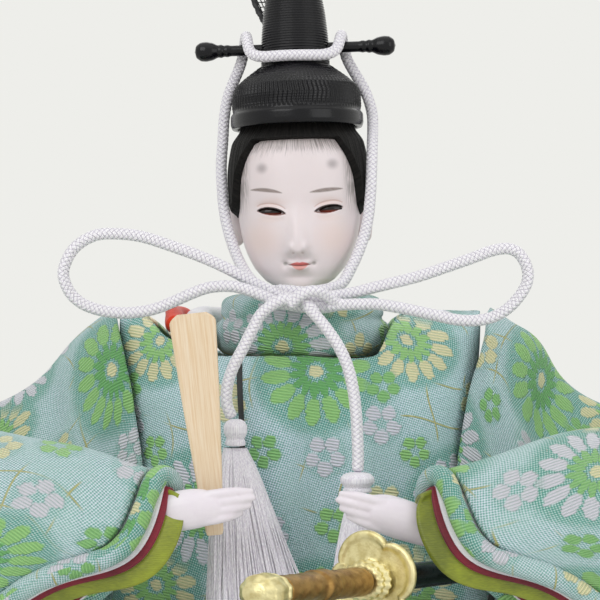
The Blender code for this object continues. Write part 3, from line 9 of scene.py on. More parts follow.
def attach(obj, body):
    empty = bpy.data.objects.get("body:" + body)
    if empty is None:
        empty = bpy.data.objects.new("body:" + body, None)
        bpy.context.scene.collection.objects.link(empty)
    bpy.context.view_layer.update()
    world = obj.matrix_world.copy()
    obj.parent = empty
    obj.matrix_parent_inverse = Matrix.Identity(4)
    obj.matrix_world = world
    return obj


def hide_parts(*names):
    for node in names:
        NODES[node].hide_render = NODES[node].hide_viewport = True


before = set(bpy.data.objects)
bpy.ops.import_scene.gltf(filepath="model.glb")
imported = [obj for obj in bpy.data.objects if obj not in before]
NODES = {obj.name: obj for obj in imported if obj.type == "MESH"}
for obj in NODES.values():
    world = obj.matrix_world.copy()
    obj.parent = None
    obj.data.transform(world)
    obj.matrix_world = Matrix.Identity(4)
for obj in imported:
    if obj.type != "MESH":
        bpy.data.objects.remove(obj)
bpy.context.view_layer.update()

MM = 0.001
RNG = np.random.default_rng(7)

# ---- places shared with the solids, in metres ----
PIVOT = Vector((0.0007, 0.0, 0.165))
HEAD_TURN = (0.0, math.radians(-1.7), math.radians(-2.5))
COLLAR_Z = 0.1563
CORD_R = 0.00135
CLOTH = 0.0016
HEM_Z = 0.0008
ROBE_TOP = 0.1668


def through(points, t):
    """The point at share t of a smooth line through evenly weighted points."""
    points = np.asarray(points, float)
    last = len(points) - 1
    place = min(max(t, 0.0), 1.0) * last
    i = min(int(place), last - 1)
    u = place - i
    p0 = points[i - 1] if i > 0 else 2 * points[0] - points[1]
    p3 = points[i + 2] if i + 2 <= last else 2 * points[last] - points[last - 1]
    p1 = points[i]
    p2 = points[i + 1]
    m1 = (p2 - p0) / 2
    m2 = (p3 - p1) / 2
    return (
        (2 * u**3 - 3 * u**2 + 1) * p1
        + (u**3 - 2 * u**2 + u) * m1
        + (-2 * u**3 + 3 * u**2) * p2
        + (u**3 - u**2) * m2
    )


def weights(count, places):
    """Rows of weights that give the smooth line's point at each place from its points."""
    rows = np.zeros((len(places), count))
    unit = np.eye(count)
    for r, t in enumerate(places):
        rows[r] = through(unit, t)
    return rows


def smooth_route(points, step):
    fine = weights(len(points), np.linspace(0.0, 1.0, 24 * len(points))) @ np.asarray(points, float)
    run = np.concatenate([[0.0], np.cumsum(np.linalg.norm(np.diff(fine, axis=0), axis=1))])
    count = max(3, round(run[-1] / step) + 1)
    at = np.linspace(0.0, run[-1], count)
    return np.stack([np.interp(at, run, fine[:, k]) for k in range(3)], axis=1)


def run_length(points):
    return float(np.sum(np.linalg.norm(np.diff(np.asarray(points), axis=0), axis=1)))


def along(table, place):
    """Smooth values from a table whose first column is the place, for one place or an array of them."""
    table = np.asarray(table, float)
    keys = table[:, 0]
    place = np.asarray(place, float)
    last = len(keys) - 1
    i = np.clip(np.searchsorted(keys, place) - 1, 0, last - 1)
    u = np.clip((place - keys[i]) / (keys[i + 1] - keys[i]), 0.0, 1.0)[..., None]
    points = np.concatenate([2 * table[:1] - table[1:2], table, 2 * table[-1:] - table[-2:-1]])[:, 1:]
    p0, p1, p2, p3 = points[i], points[i + 1], points[i + 2], points[i + 3]
    m1 = (p2 - p0) / 2
    m2 = (p3 - p1) / 2
    return (
        (2 * u**3 - 3 * u**2 + 1) * p1
        + (u**3 - 2 * u**2 + u) * m1
        + (-2 * u**3 + 3 * u**2) * p2
        + (u**3 - u**2) * m2
    )


def smooth_step(low, high, value):
    u = np.clip((np.asarray(value, float) - low) / (high - low), 0.0, 1.0)
    return u * u * (3 - 2 * u)


def lin(text):
    """A colour written as six digits, as the linear values that materials take."""
    parts = [int(text[i : i + 2], 16) / 255 for i in (0, 2, 4)]
    return tuple((c / 12.92 if c <= 0.04045 else ((c + 0.055) / 1.055) ** 2.4) for c in parts) + (1.0,)


# ---- camera, light and stage ----
camera = bpy.data.objects.new("camera", bpy.data.cameras.new("camera"))
bpy.context.scene.collection.objects.link(camera)
camera.location = (0.0, -0.52, 0.17)
camera.rotation_euler = (math.pi / 2, 0.0, 0.0)
camera.data.sensor_width = 36.0
camera.data.lens = 36.0 * 0.52 / 0.15
camera.data.clip_start = 0.01
bpy.context.scene.camera = camera
bpy.context.scene.view_settings.view_transform = "Standard"


def lamp(name, place, aim, watts, size):
    light = bpy.data.lights.new(name, "AREA")
    light.energy = watts
    light.shape = "SQUARE"
    light.size = size
    made = bpy.data.objects.new(name, light)
    bpy.context.scene.collection.objects.link(made)
    made.location = place
    made.rotation_euler = (Vector(aim) - Vector(place)).to_track_quat("-Z", "Y").to_euler()


lamp("key_light", (-0.55, -0.95, 0.85), (0.0, 0.0, 0.14), 4.8, 0.8)
lamp("fill_light", (0.85, -0.75, 0.45), (0.0, 0.0, 0.14), 2.3, 0.8)
lamp("back_light", (0.1, 0.9, 0.9), (0.0, 0.0, 0.16), 2.6, 0.9)
lamp("top_light", (0.0, -0.25, 1.0), (0.0, 0.0, 0.14), 1.2, 1.0)


# ---- small helpers for node materials ----
class Graph:
    """A node tree with short calls for the nodes that the materials use."""

    def __init__(self, tree):
        self.tree = tree

    def node(self, kind, **props):
        made = self.tree.nodes.new(kind)
        for key, value in props.items():
            setattr(made, key, value)
        return made

    def put(self, socket, value):
        if isinstance(value, bpy.types.NodeSocket):
            self.tree.links.new(value, socket)
        elif value is not None:
            socket.default_value = value

    def math(self, op, *args, clamp=False):
        made = self.node("ShaderNodeMath", operation=op, use_clamp=clamp)
        for socket, value in zip(made.inputs, args):
            self.put(socket, value)
        return made.outputs[0]

    def vec(self, op, *args, scale=None):
        made = self.node("ShaderNodeVectorMath", operation=op)
        for socket, value in zip(made.inputs, args):
            self.put(socket, value)
        if scale is not None:
            self.put(made.inputs["Scale"], scale)
        return made.outputs["Value" if op in ("LENGTH", "DOT_PRODUCT") else "Vector"]

    def split(self, vector):
        made = self.node("ShaderNodeSeparateXYZ")
        self.put(made.inputs[0], vector)
        return made.outputs[0], made.outputs[1], made.outputs[2]

    def join(self, x=0.0, y=0.0, z=0.0):
        made = self.node("ShaderNodeCombineXYZ")
        for socket, value in zip(made.inputs, (x, y, z)):
            self.put(socket, value)
        return made.outputs[0]

    def step(self, value, low, high, to_low=0.0, to_high=1.0):
        made = self.node("ShaderNodeMapRange", interpolation_type="SMOOTHSTEP")
        for socket, item in zip(made.inputs, (value, low, high, to_low, to_high)):
            self.put(socket, item)
        return made.outputs[0]

    def mix(self, share, a, b):
        made = self.node("ShaderNodeMix", data_type="RGBA")
        for index, value in ((0, share), (6, a), (7, b)):
            self.put(made.inputs[index], value)
        return made.outputs[2]

    def noise(self, vector, scale, detail=3.0, rough=0.5):
        made = self.node("ShaderNodeTexNoise")
        self.put(made.inputs["Vector"], vector)
        self.put(made.inputs["Scale"], scale)
        self.put(made.inputs["Detail"], detail)
        self.put(made.inputs["Roughness"], rough)
        return made.outputs["Fac"]

    def place(self):
        return self.node("ShaderNodeTexCoord").outputs["Object"]

    def uv(self, name="weave"):
        return self.node("ShaderNodeUVMap", uv_map=name).outputs[0]

    def bump(self, height, distance, strength=1.0, normal=None):
        made = self.node("ShaderNodeBump")
        self.put(made.inputs["Strength"], strength)
        self.put(made.inputs["Distance"], distance)
        self.put(made.inputs["Height"], height)
        if normal is not None:
            self.put(made.inputs["Normal"], normal)
        return made.outputs[0]


def material(name, roughness=0.6, metallic=0.0, **sockets):
    made = bpy.data.materials.new(name)
    made.use_nodes = True
    shader = made.node_tree.nodes["Principled BSDF"]
    shader.inputs["Roughness"].default_value = roughness
    shader.inputs["Metallic"].default_value = metallic
    for key, value in sockets.items():
        shader.inputs[key.replace("_", " ")].default_value = value
    return made, Graph(made.node_tree), shader


def mottled(name, colour, other, scale, roughness, bump_scale=900.0, bump=0.00006, stretch=(1, 1, 1), metallic=0.0, **sockets):
    """A material of two close colours in cloudy patches with a fine grain."""
    made, g, shader = material(name, roughness, metallic, **sockets)
    at = g.vec("MULTIPLY", g.place(), tuple(float(v) for v in stretch))
    patch = g.noise(at, scale, 4.0)
    g.put(shader.inputs["Base Color"], g.mix(g.step(patch, 0.35, 0.65), lin(colour), lin(other)))
    g.put(shader.inputs["Normal"], g.bump(g.noise(at, bump_scale, 2.0), bump))
    return made


def floor_material():
    """Pale paper that keeps the shadow near the object and runs out into the backdrop's own tone."""
    made, g, shader = material("floor_paper", 0.9)
    place = g.place()
    g.put(shader.inputs["Base Color"], g.mix(g.noise(place, 6.0), lin("efeeea"), lin("f2f1ed")))
    far = g.step(g.vec("LENGTH", place), 0.22, 0.60)
    rays = g.node("ShaderNodeLightPath")
    direct = g.math("MAXIMUM", rays.outputs["Is Camera Ray"], rays.outputs["Is Glossy Ray"])
    direct = g.math("MAXIMUM", direct, rays.outputs["Is Transmission Ray"])
    glow = g.node("ShaderNodeEmission")
    glow.inputs["Color"].default_value = lin("eeeeea")
    mixed = g.node("ShaderNodeMixShader")
    g.put(mixed.inputs[0], g.math("MULTIPLY", far, direct))
    g.put(mixed.inputs[1], shader.outputs[0])
    g.put(mixed.inputs[2], glow.outputs[0])
    g.put(made.node_tree.nodes["Material Output"].inputs[0], mixed.outputs[0])
    return made


floor = bpy.data.objects.new("floor", bpy.data.meshes.new("floor"))
bpy.context.scene.collection.objects.link(floor)
floor.data.from_pydata([(-4, -4, 0), (4, -4, 0), (4, 4, 0), (-4, 4, 0)], [], [(0, 1, 2, 3)])
floor.location.z = -0.0002
floor.data.materials.append(floor_material())

world = bpy.data.worlds.new("studio")
bpy.context.scene.world = world
world.use_nodes = True
sky = Graph(world.node_tree)
plain = world.node_tree.nodes["Background"]
plain.inputs["Color"].default_value = (1.0, 1.0, 1.0, 1.0)
plain.inputs["Strength"].default_value = 0.58
seen = sky.node("ShaderNodeBackground")
seen.inputs["Color"].default_value = lin("eeeeea")
rays = sky.node("ShaderNodeLightPath")
direct = sky.math("MAXIMUM", rays.outputs["Is Camera Ray"], rays.outputs["Is Transmission Ray"])
share = sky.math("MAXIMUM", direct, rays.outputs["Is Glossy Ray"])
blend_node = sky.node("ShaderNodeMixShader")
sky.put(blend_node.inputs[0], share)
sky.put(blend_node.inputs[1], plain.outputs[0])
sky.put(blend_node.inputs[2], seen.outputs[0])
sky.put(world.node_tree.nodes["World Output"].inputs[0], blend_node.outputs[0])


# ---- object helpers ----
def add(name, data, look=None, smooth=True):
    made = bpy.data.objects.new(name, data)
    bpy.context.scene.collection.objects.link(made)
    if look is not None:
        data.materials.append(look)
    if smooth and isinstance(data, bpy.types.Mesh):
        data.shade_smooth()
    return made


def grid_object(name, points, look, uv=None, thick=None, closed=False, caps=False):
    """A surface through rows of points, with its flat coordinates in millimetres, thickened evenly if asked."""
    points = np.asarray(points, float)
    rows, wide = points.shape[:2]
    spans = wide if closed else wide - 1
    faces = []
    for i in range(rows - 1):
        for j in range(spans):
            k = (j + 1) % wide
            faces.append((i * wide + j, i * wide + k, (i + 1) * wide + k, (i + 1) * wide + j))
    quads = len(faces)
    if caps:
        faces.append(tuple(range(wide))[::-1])
        faces.append(tuple((rows - 1) * wide + j for j in range(wide)))
    data = bpy.data.meshes.new(name)
    data.from_pydata(points.reshape(-1, 3).tolist(), [], faces)
    if uv is not None:
        uv = np.asarray(uv, float)
        layer = data.uv_layers.new(name="weave")
        flat = np.zeros((len(data.loops), 2))
        n = 0
        for i in range(rows - 1):
            for j in range(spans):
                flat[n] = uv[i, j]
                flat[n + 1] = uv[i, j + 1]
                flat[n + 2] = uv[i + 1, j + 1]
                flat[n + 3] = uv[i + 1, j]
                n += 4
        layer.data.foreach_set("uv", flat.reshape(-1))
    made = add(name, data, look)
    if thick:
        solid = made.modifiers.new("Thickness", "SOLIDIFY")
        solid.thickness = thick
        solid.offset = 0.0
        solid.use_even_offset = False
    return made


def normals_of(points, closed=False):
    """Unit normals of a grid of points."""
    if closed:
        across = np.roll(points, -1, axis=1) - np.roll(points, 1, axis=1)
    else:
        across = np.gradient(points, axis=1)
    down = np.gradient(points, axis=0)
    normal = np.cross(across, down)
    size = np.linalg.norm(normal, axis=2, keepdims=True)
    return normal / np.maximum(size, 1e-12)


def flat_uv(points, closed=False):
    """Flat coordinates in millimetres from the runs along a grid's rows and columns."""
    pts = np.concatenate([points, points[:, :1]], axis=1) if closed else points
    wide = np.linalg.norm(np.diff(pts, axis=1), axis=2)
    run = np.concatenate([np.zeros((len(pts), 1)), np.cumsum(wide, axis=1)], axis=1)
    run -= run[:, run.shape[1] // 2][:, None]
    tall = np.linalg.norm(np.diff(pts, axis=0), axis=2).mean(axis=1)
    rise = np.concatenate([[0.0], np.cumsum(tall)])
    return np.stack([run, np.repeat(rise[:, None], run.shape[1], axis=1)], axis=2) * 1000.0


def waves(place, seed, count=5, long=0.03):
    """A gentle sum of sines of a place, about -1 to 1, the same in every run."""
    rng = np.random.default_rng(seed)
    place = np.asarray(place, float)
    total = np.zeros(place.shape[:-1])
    for k in range(count):
        way = rng.normal(size=3)
        way /= np.linalg.norm(way)
        total += np.sin(place @ way * 2 * math.pi / (long * (0.6 + 0.8 * rng.random())) + rng.random() * 6.28)
    return total / count**0.5


def frames_along(points):
    """Unit tangents and two unit sides along a line, without twist."""
    points = np.asarray(points, float)
    tangent = np.gradient(points, axis=0)
    tangent /= np.linalg.norm(tangent, axis=1, keepdims=True)
    side = np.cross(tangent[0], (0.0, 0.0, 1.0))
    if np.linalg.norm(side) < 0.1:
        side = np.cross(tangent[0], (0.0, 1.0, 0.0))
    side /= np.linalg.norm(side)
    sides = [side]
    for k in range(1, len(points)):
        side = side - tangent[k] * float(side @ tangent[k])
        side /= np.linalg.norm(side)
        sides.append(side)
    sides = np.array(sides)
    return tangent, sides, np.cross(tangent, sides)


def tube_object(name, points, radii, look, around=16, relief=None, taper=True):
    """A round closed tube of changing radius; relief gives the radius's change by angle and run."""
    points = np.asarray(points, float)
    radii = np.broadcast_to(np.asarray(radii, float), (len(points),)).copy()
    run = np.concatenate([[0.0], np.cumsum(np.linalg.norm(np.diff(points, axis=0), axis=1))])
    tangent, side, up = frames_along(points)
    angle = np.arange(around) * 2 * math.pi / around
    size = radii[:, None] * np.ones(around)
    if relief is not None:
        size = size + relief(angle[None, :], run[:, None])
    ring = (
        points[:, None, :]
        + size[..., None] * (np.cos(angle)[None, :, None] * side[:, None, :] + np.sin(angle)[None, :, None] * up[:, None, :])
    )
    if taper:
        for end, row in ((0, ring[:1]), (-1, ring[-1:])):
            shrunk = points[end] + (row - points[end]) * 0.55 + tangent[end] * (radii[end] * 0.35 * (-1 if end == 0 else 1))
            ring = np.concatenate([shrunk, ring] if end == 0 else [ring, shrunk])
        run = np.concatenate([[run[0] - radii[0] * 0.4], run, [run[-1] + radii[-1] * 0.4]])
    circle = np.concatenate([angle, [2 * math.pi]])
    uv = np.stack(np.broadcast_arrays(circle[None, :] * radii.mean() * 1000, run[:, None] * 1000), axis=2)
    return grid_object(name, ring, look, uv=uv, closed=True, caps=True)


def turned_object(name, profile, look, steps=48, matrix=None, relief=None):
    """A solid turned about Z from (radius, height) points, with flat coordinates round and up."""
    profile = np.asarray(profile, float)
    angle = np.arange(steps) * 2 * math.pi / steps
    r = profile[:, 0][:, None] * np.ones(steps)
    z = profile[:, 1][:, None] * np.ones(steps)
    if relief is not None:
        r = r + relief(angle[None, :], profile[:, 1][:, None], profile[:, 0][:, None])
    points = np.stack([r * np.sin(angle), -r * np.cos(angle), z], axis=2)
    rise = np.concatenate([[0.0], np.cumsum(np.linalg.norm(np.diff(profile, axis=0), axis=1))])
    circle = np.concatenate([angle, [2 * math.pi]])
    uv = np.stack(np.broadcast_arrays(circle[None, :] * profile[:, 0].max() * 1000, rise[:, None] * 1000), axis=2)
    made = grid_object(name, points, look, uv=uv, closed=True, caps=True)
    if matrix is not None:
        made.matrix_world = matrix
    return made


def fine_profile(points, count):
    points = np.asarray(points, float)
    run = np.concatenate([[0.0], np.cumsum(np.linalg.norm(np.diff(points, axis=0), axis=1))])
    at = np.linspace(0.0, run[-1], count)
    base = np.stack([np.interp(at, run, points[:, k]) for k in range(2)], axis=1)
    for _ in range(3):
        base[1:-1] = (base[:-2] + 2 * base[1:-1] + base[2:]) / 4
    return base


HEAD_MATRIX = Matrix.Translation(PIVOT) @ Matrix.Rotation(HEAD_TURN[2], 4, "Z") @ Matrix.Rotation(HEAD_TURN[1], 4, "Y")


# ---- cords first ----
CHIN_CORD_ROUTE = (
    (-0.0024, -0.0222, 0.0072),
    (-0.0088, -0.0176, 0.0075),
    (-0.0122, -0.0132, 0.0102),
    (-0.0150, -0.0085, 0.0146),
    (-0.0172, -0.0050, 0.0202),
    (-0.0187, -0.0030, 0.0262),
    (-0.0194, -0.0014, 0.0325),
    (-0.0197, 0.0000, 0.0388),
    (-0.0193, 0.0012, 0.0450),
    (-0.0190, 0.0022, 0.0510),
    (-0.0180, 0.0034, 0.0565),
    (-0.0162, 0.0046, 0.0612),
    (-0.0148, 0.0053, 0.0648),
    (-0.0141, 0.0054, 0.0686),
    (-0.0136, 0.0018, 0.0713),
    (-0.0131, -0.0020, 0.0694),
    (-0.0124, -0.0044, 0.0662),
    (-0.0096, -0.0066, 0.0650),
    (-0.0055, -0.0083, 0.0651),
    (-0.0018, -0.0087, 0.0652),
    (0.0022, -0.0084, 0.0653),
    (0.0062, -0.0072, 0.0655),
    (0.0090, -0.0052, 0.0668),
    (0.0099, -0.0026, 0.0698),
    (0.0104, 0.0008, 0.0715),
    (0.0108, 0.0046, 0.0695),
    (0.0119, 0.0052, 0.0656),
    (0.0142, 0.0046, 0.0616),
    (0.0166, 0.0036, 0.0572),
    (0.0181, 0.0024, 0.0522),
    (0.0182, 0.0000, 0.0480),
    (0.0180, -0.0034, 0.0448),
    (0.0178, -0.0062, 0.0410),
    (0.0176, -0.0078, 0.0361),
    (0.0173, -0.0080, 0.0299),
    (0.0165, -0.0086, 0.0237),
    (0.0146, -0.0108, 0.0174),
    (0.0120, -0.0147, 0.0120),
    (0.0097, -0.0180, 0.0085),
    (0.0044, -0.0222, 0.0072),
)
LOOP_RIGHT_ROUTE = (
    (-0.0046, -0.0243, 0.0059),
    (-0.0114, -0.0250, 0.0093),
    (-0.0167, -0.0260, 0.0122),
    (-0.0236, -0.0262, 0.0153),
    (-0.0305, -0.0263, 0.0178),
    (-0.0374, -0.0264, 0.0200),
    (-0.0432, -0.0265, 0.0207),
    (-0.0487, -0.0266, 0.0203),
    (-0.0536, -0.0267, 0.0172),
    (-0.0561, -0.0268, 0.0119),
    (-0.0549, -0.0269, 0.0074),
    (-0.0520, -0.0270, 0.0044),
    (-0.0479, -0.0271, 0.0027),
    (-0.0432, -0.0272, 0.0020),
    (-0.0386, -0.0273, 0.0021),
    (-0.0341, -0.0274, 0.0030),
    (-0.0298, -0.0276, 0.0047),
    (-0.0255, -0.0279, 0.0066),
    (-0.0212, -0.0281, 0.0080),
    (-0.0158, -0.0284, 0.0082),
    (-0.0108, -0.0285, 0.0068),
    (-0.0050, -0.0284, 0.0043),
)
LOOP_LEFT_ROUTE = (
    (0.0071, -0.0243, 0.0058),
    (0.0130, -0.0247, 0.0068),
    (0.0181, -0.0250, 0.0081),
    (0.0274, -0.0256, 0.0104),
    (0.0341, -0.0259, 0.0126),
    (0.0410, -0.0260, 0.0150),
    (0.0456, -0.0261, 0.0167),
    (0.0494, -0.0262, 0.0172),
    (0.0521, -0.0263, 0.0159),
    (0.0539, -0.0264, 0.0126),
    (0.0539, -0.0265, 0.0093),
    (0.0522, -0.0267, 0.0061),
    (0.0494, -0.0269, 0.0031),
    (0.0456, -0.0270, 0.0009),
    (0.0410, -0.0271, 0.0001),
    (0.0365, -0.0272, 0.0004),
    (0.0320, -0.0274, 0.0014),
    (0.0274, -0.0276, 0.0024),
    (0.0229, -0.0279, 0.0033),
    (0.0181, -0.0282, 0.0040),
    (0.0130, -0.0283, 0.0040),
    (0.0067, -0.0283, 0.0037),
)
TAIL_RIGHT_ROUTE = (
    (-0.0010, -0.0309, 0.0053),
    (-0.0050, -0.0320, 0.0047),
    (-0.0090, -0.0325, 0.0018),
    (-0.0112, -0.0330, -0.0021),
    (-0.0136, -0.0340, -0.0068),
    (-0.0158, -0.0350, -0.0112),
    (-0.0170, -0.0356, -0.0156),
    (-0.0170, -0.0361, -0.0192),
    (-0.0160, -0.0364, -0.0220),
)
TAIL_LEFT_ROUTE = (
    (0.0018, -0.0304, 0.0034),
    (0.0052, -0.0322, -0.0004),
    (0.0087, -0.0340, -0.0053),
    (0.0110, -0.0355, -0.0102),
    (0.0123, -0.0367, -0.0155),
    (0.0130, -0.0378, -0.0212),
    (0.0133, -0.0389, -0.0269),
    (0.0134, -0.0400, -0.0315),
    (0.0133, -0.0406, -0.0341),
)


def cord_material():
    """White floss braid: strands that cross as they wind, with painted shade where they meet and lighter crowns."""
    made, g, shader = material("braided_cord", 0.5, Sheen_Weight=0.3)
    u, v, _ = g.split(g.uv())
    a = g.math("ADD", g.math("MULTIPLY", u, 5 / 8.48), g.math("MULTIPLY", v, 1 / 1.15))
    b = g.math("SUBTRACT", g.math("MULTIPLY", u, 5 / 8.48), g.math("MULTIPLY", v, 1 / 1.15))
    odd = g.math("FLOORED_MODULO", g.math("ADD", g.math("FLOOR", a), g.math("FLOOR", b)), 2.0)
    across_a = g.math("SUBTRACT", g.math("FRACT", a), 0.5)
    across_b = g.math("SUBTRACT", g.math("FRACT", b), 0.5)
    across = g.math("ADD", g.math("MULTIPLY", odd, across_a), g.math("MULTIPLY", g.math("SUBTRACT", 1.0, odd), across_b))
    crown = g.math("SUBTRACT", 1.0, g.math("MULTIPLY", g.math("MULTIPLY", across, across), 4.0))
    thread = g.math("SINE", g.math("MULTIPLY", across, 6.283 * 3))
    # painted shade: the grooves between strands are greyer, the crowns whiter
    shade = g.step(crown, -0.1, 0.75)
    g.put(shader.inputs["Base Color"], g.mix(shade, lin("cbc2d8"), lin("f8f6fa")))
    g.put(shader.inputs["Normal"], g.bump(g.math("ADD", crown, g.math("MULTIPLY", thread, 0.12)), 0.00022, 0.9))
    return made


CORD = cord_material()


def braid(angle, run):
    """The relief of a round braid: strands that cross over and under each other."""
    a = angle * 5 / (2 * math.pi) + run / 0.00115
    b = angle * 5 / (2 * math.pi) - run / 0.00115
    odd = (np.floor(a) + np.floor(b)) % 2 == 1
    across = np.where(odd, a - np.floor(a), b - np.floor(b)) - 0.5
    return 0.00010 * (1 - 4 * across**2) - 0.00004


def cord_piece(name, points, look=None, around=24):
    return tube_object(name, points, CORD_R, look or CORD, around=around, relief=braid)


cords = {}
for name, route, passes in (
    ("chin_cord", CHIN_CORD_ROUTE, 60),
    ("bow_loop_right", LOOP_RIGHT_ROUTE, 0),
    ("bow_loop_left", LOOP_LEFT_ROUTE, 0),
    ("cord_tail_right", TAIL_RIGHT_ROUTE, 0),
    ("cord_tail_left", TAIL_LEFT_ROUTE, 0),
):
    path = smooth_route(route, 0.00026) + np.array((0.0, 0.0, PIVOT.z))
    for _ in range(passes):
        path[1:-1] = (path[:-2] + 2 * path[1:-1] + path[2:]) / 4
    cords[name] = (cord_piece(name + "_braid", path), path[::8])
    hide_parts(name)

KNOT_WRAPS = (
    ("knot_over", ((-2.4, -31.6, 168.9), (-0.6, -31.9, 170.6), (1.6, -32.0, 171.9), (4.2, -31.4, 172.0), (6.4, -29.9, 170.9), (8.2, -28.6, 169.4), (10.2, -28.2, 168.9))),
    ("knot_under", ((3.6, -30.9, 167.0), (1.9, -30.4, 168.9), (-0.4, -28.9, 170.2), (-2.9, -28.6, 170.3), (-5.6, -28.6, 169.6), (-7.6, -28.5, 170.1))),
    ("knot_back", ((-7.4, -24.7, 172.3), (-4.4, -24.5, 171.0), (-1.4, -25.6, 170.4), (1.6, -26.0, 170.3), (4.6, -25.3, 170.5), (9.0, -24.5, 171.1))),
    ("knot_chin", ((-5.0, -20.4, 172.4), (-2.4, -22.4, 172.2), (1.0, -23.2, 171.9), (4.4, -22.3, 172.2), (7.2, -20.3, 172.7))),
    ("knot_low", ((-6.6, -27.9, 169.9), (-3.0, -26.6, 169.0), (1.2, -26.4, 168.3), (5.2, -27.0, 168.2), (9.2, -28.0, 168.8))),
)
for name, places in KNOT_WRAPS:
    path = smooth_route(np.array(places) * MM, 0.0003)
    piece = cord_piece(name, path)
    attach(piece, "torso")
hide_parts("bow_knot")


# ---- brocade ----
TILE = (64.0, 60.0)
LIME = lin("9ad07f")
CREAM = lin("e4e0b0")
SILVER = lin("dcdce4")
LEAF = lin("8cc67a")
FERN = lin("6fb56a")
MOTIFS = (
    # middle (mm), radius, petals, inner colour, outer colour
    ((3.9, -16.5), 13.5, 14, FERN, LIME),
    ((28.3, -8.4), 11.0, 14, LIME, CREAM),
    ((40.0, -50.0), 13.0, 16, LEAF, SILVER),
    ((20.1, -20.3), 4.3, 5, LEAF, LEAF),
    ((-9.0, -35.6), 4.2, 5, LEAF, LEAF),
    ((27.9, -36.2), 4.0, 5, LIME, LIME),
    ((8.0, -53.0), 4.5, 5, LIME, LIME),
    ((19.5, -29.5), 5.0, 5, SILVER, SILVER),
    ((5.9, -36.9), 5.0, 5, SILVER, SILVER),
    ((46.0, -24.0), 5.2, 5, CREAM, CREAM),
    ((-8.0, -55.0), 5.0, 5, SILVER, SILVER),
    ((20.0, -48.5), 5.0, 5, CREAM, CREAM),
)
THREAD = 0.72


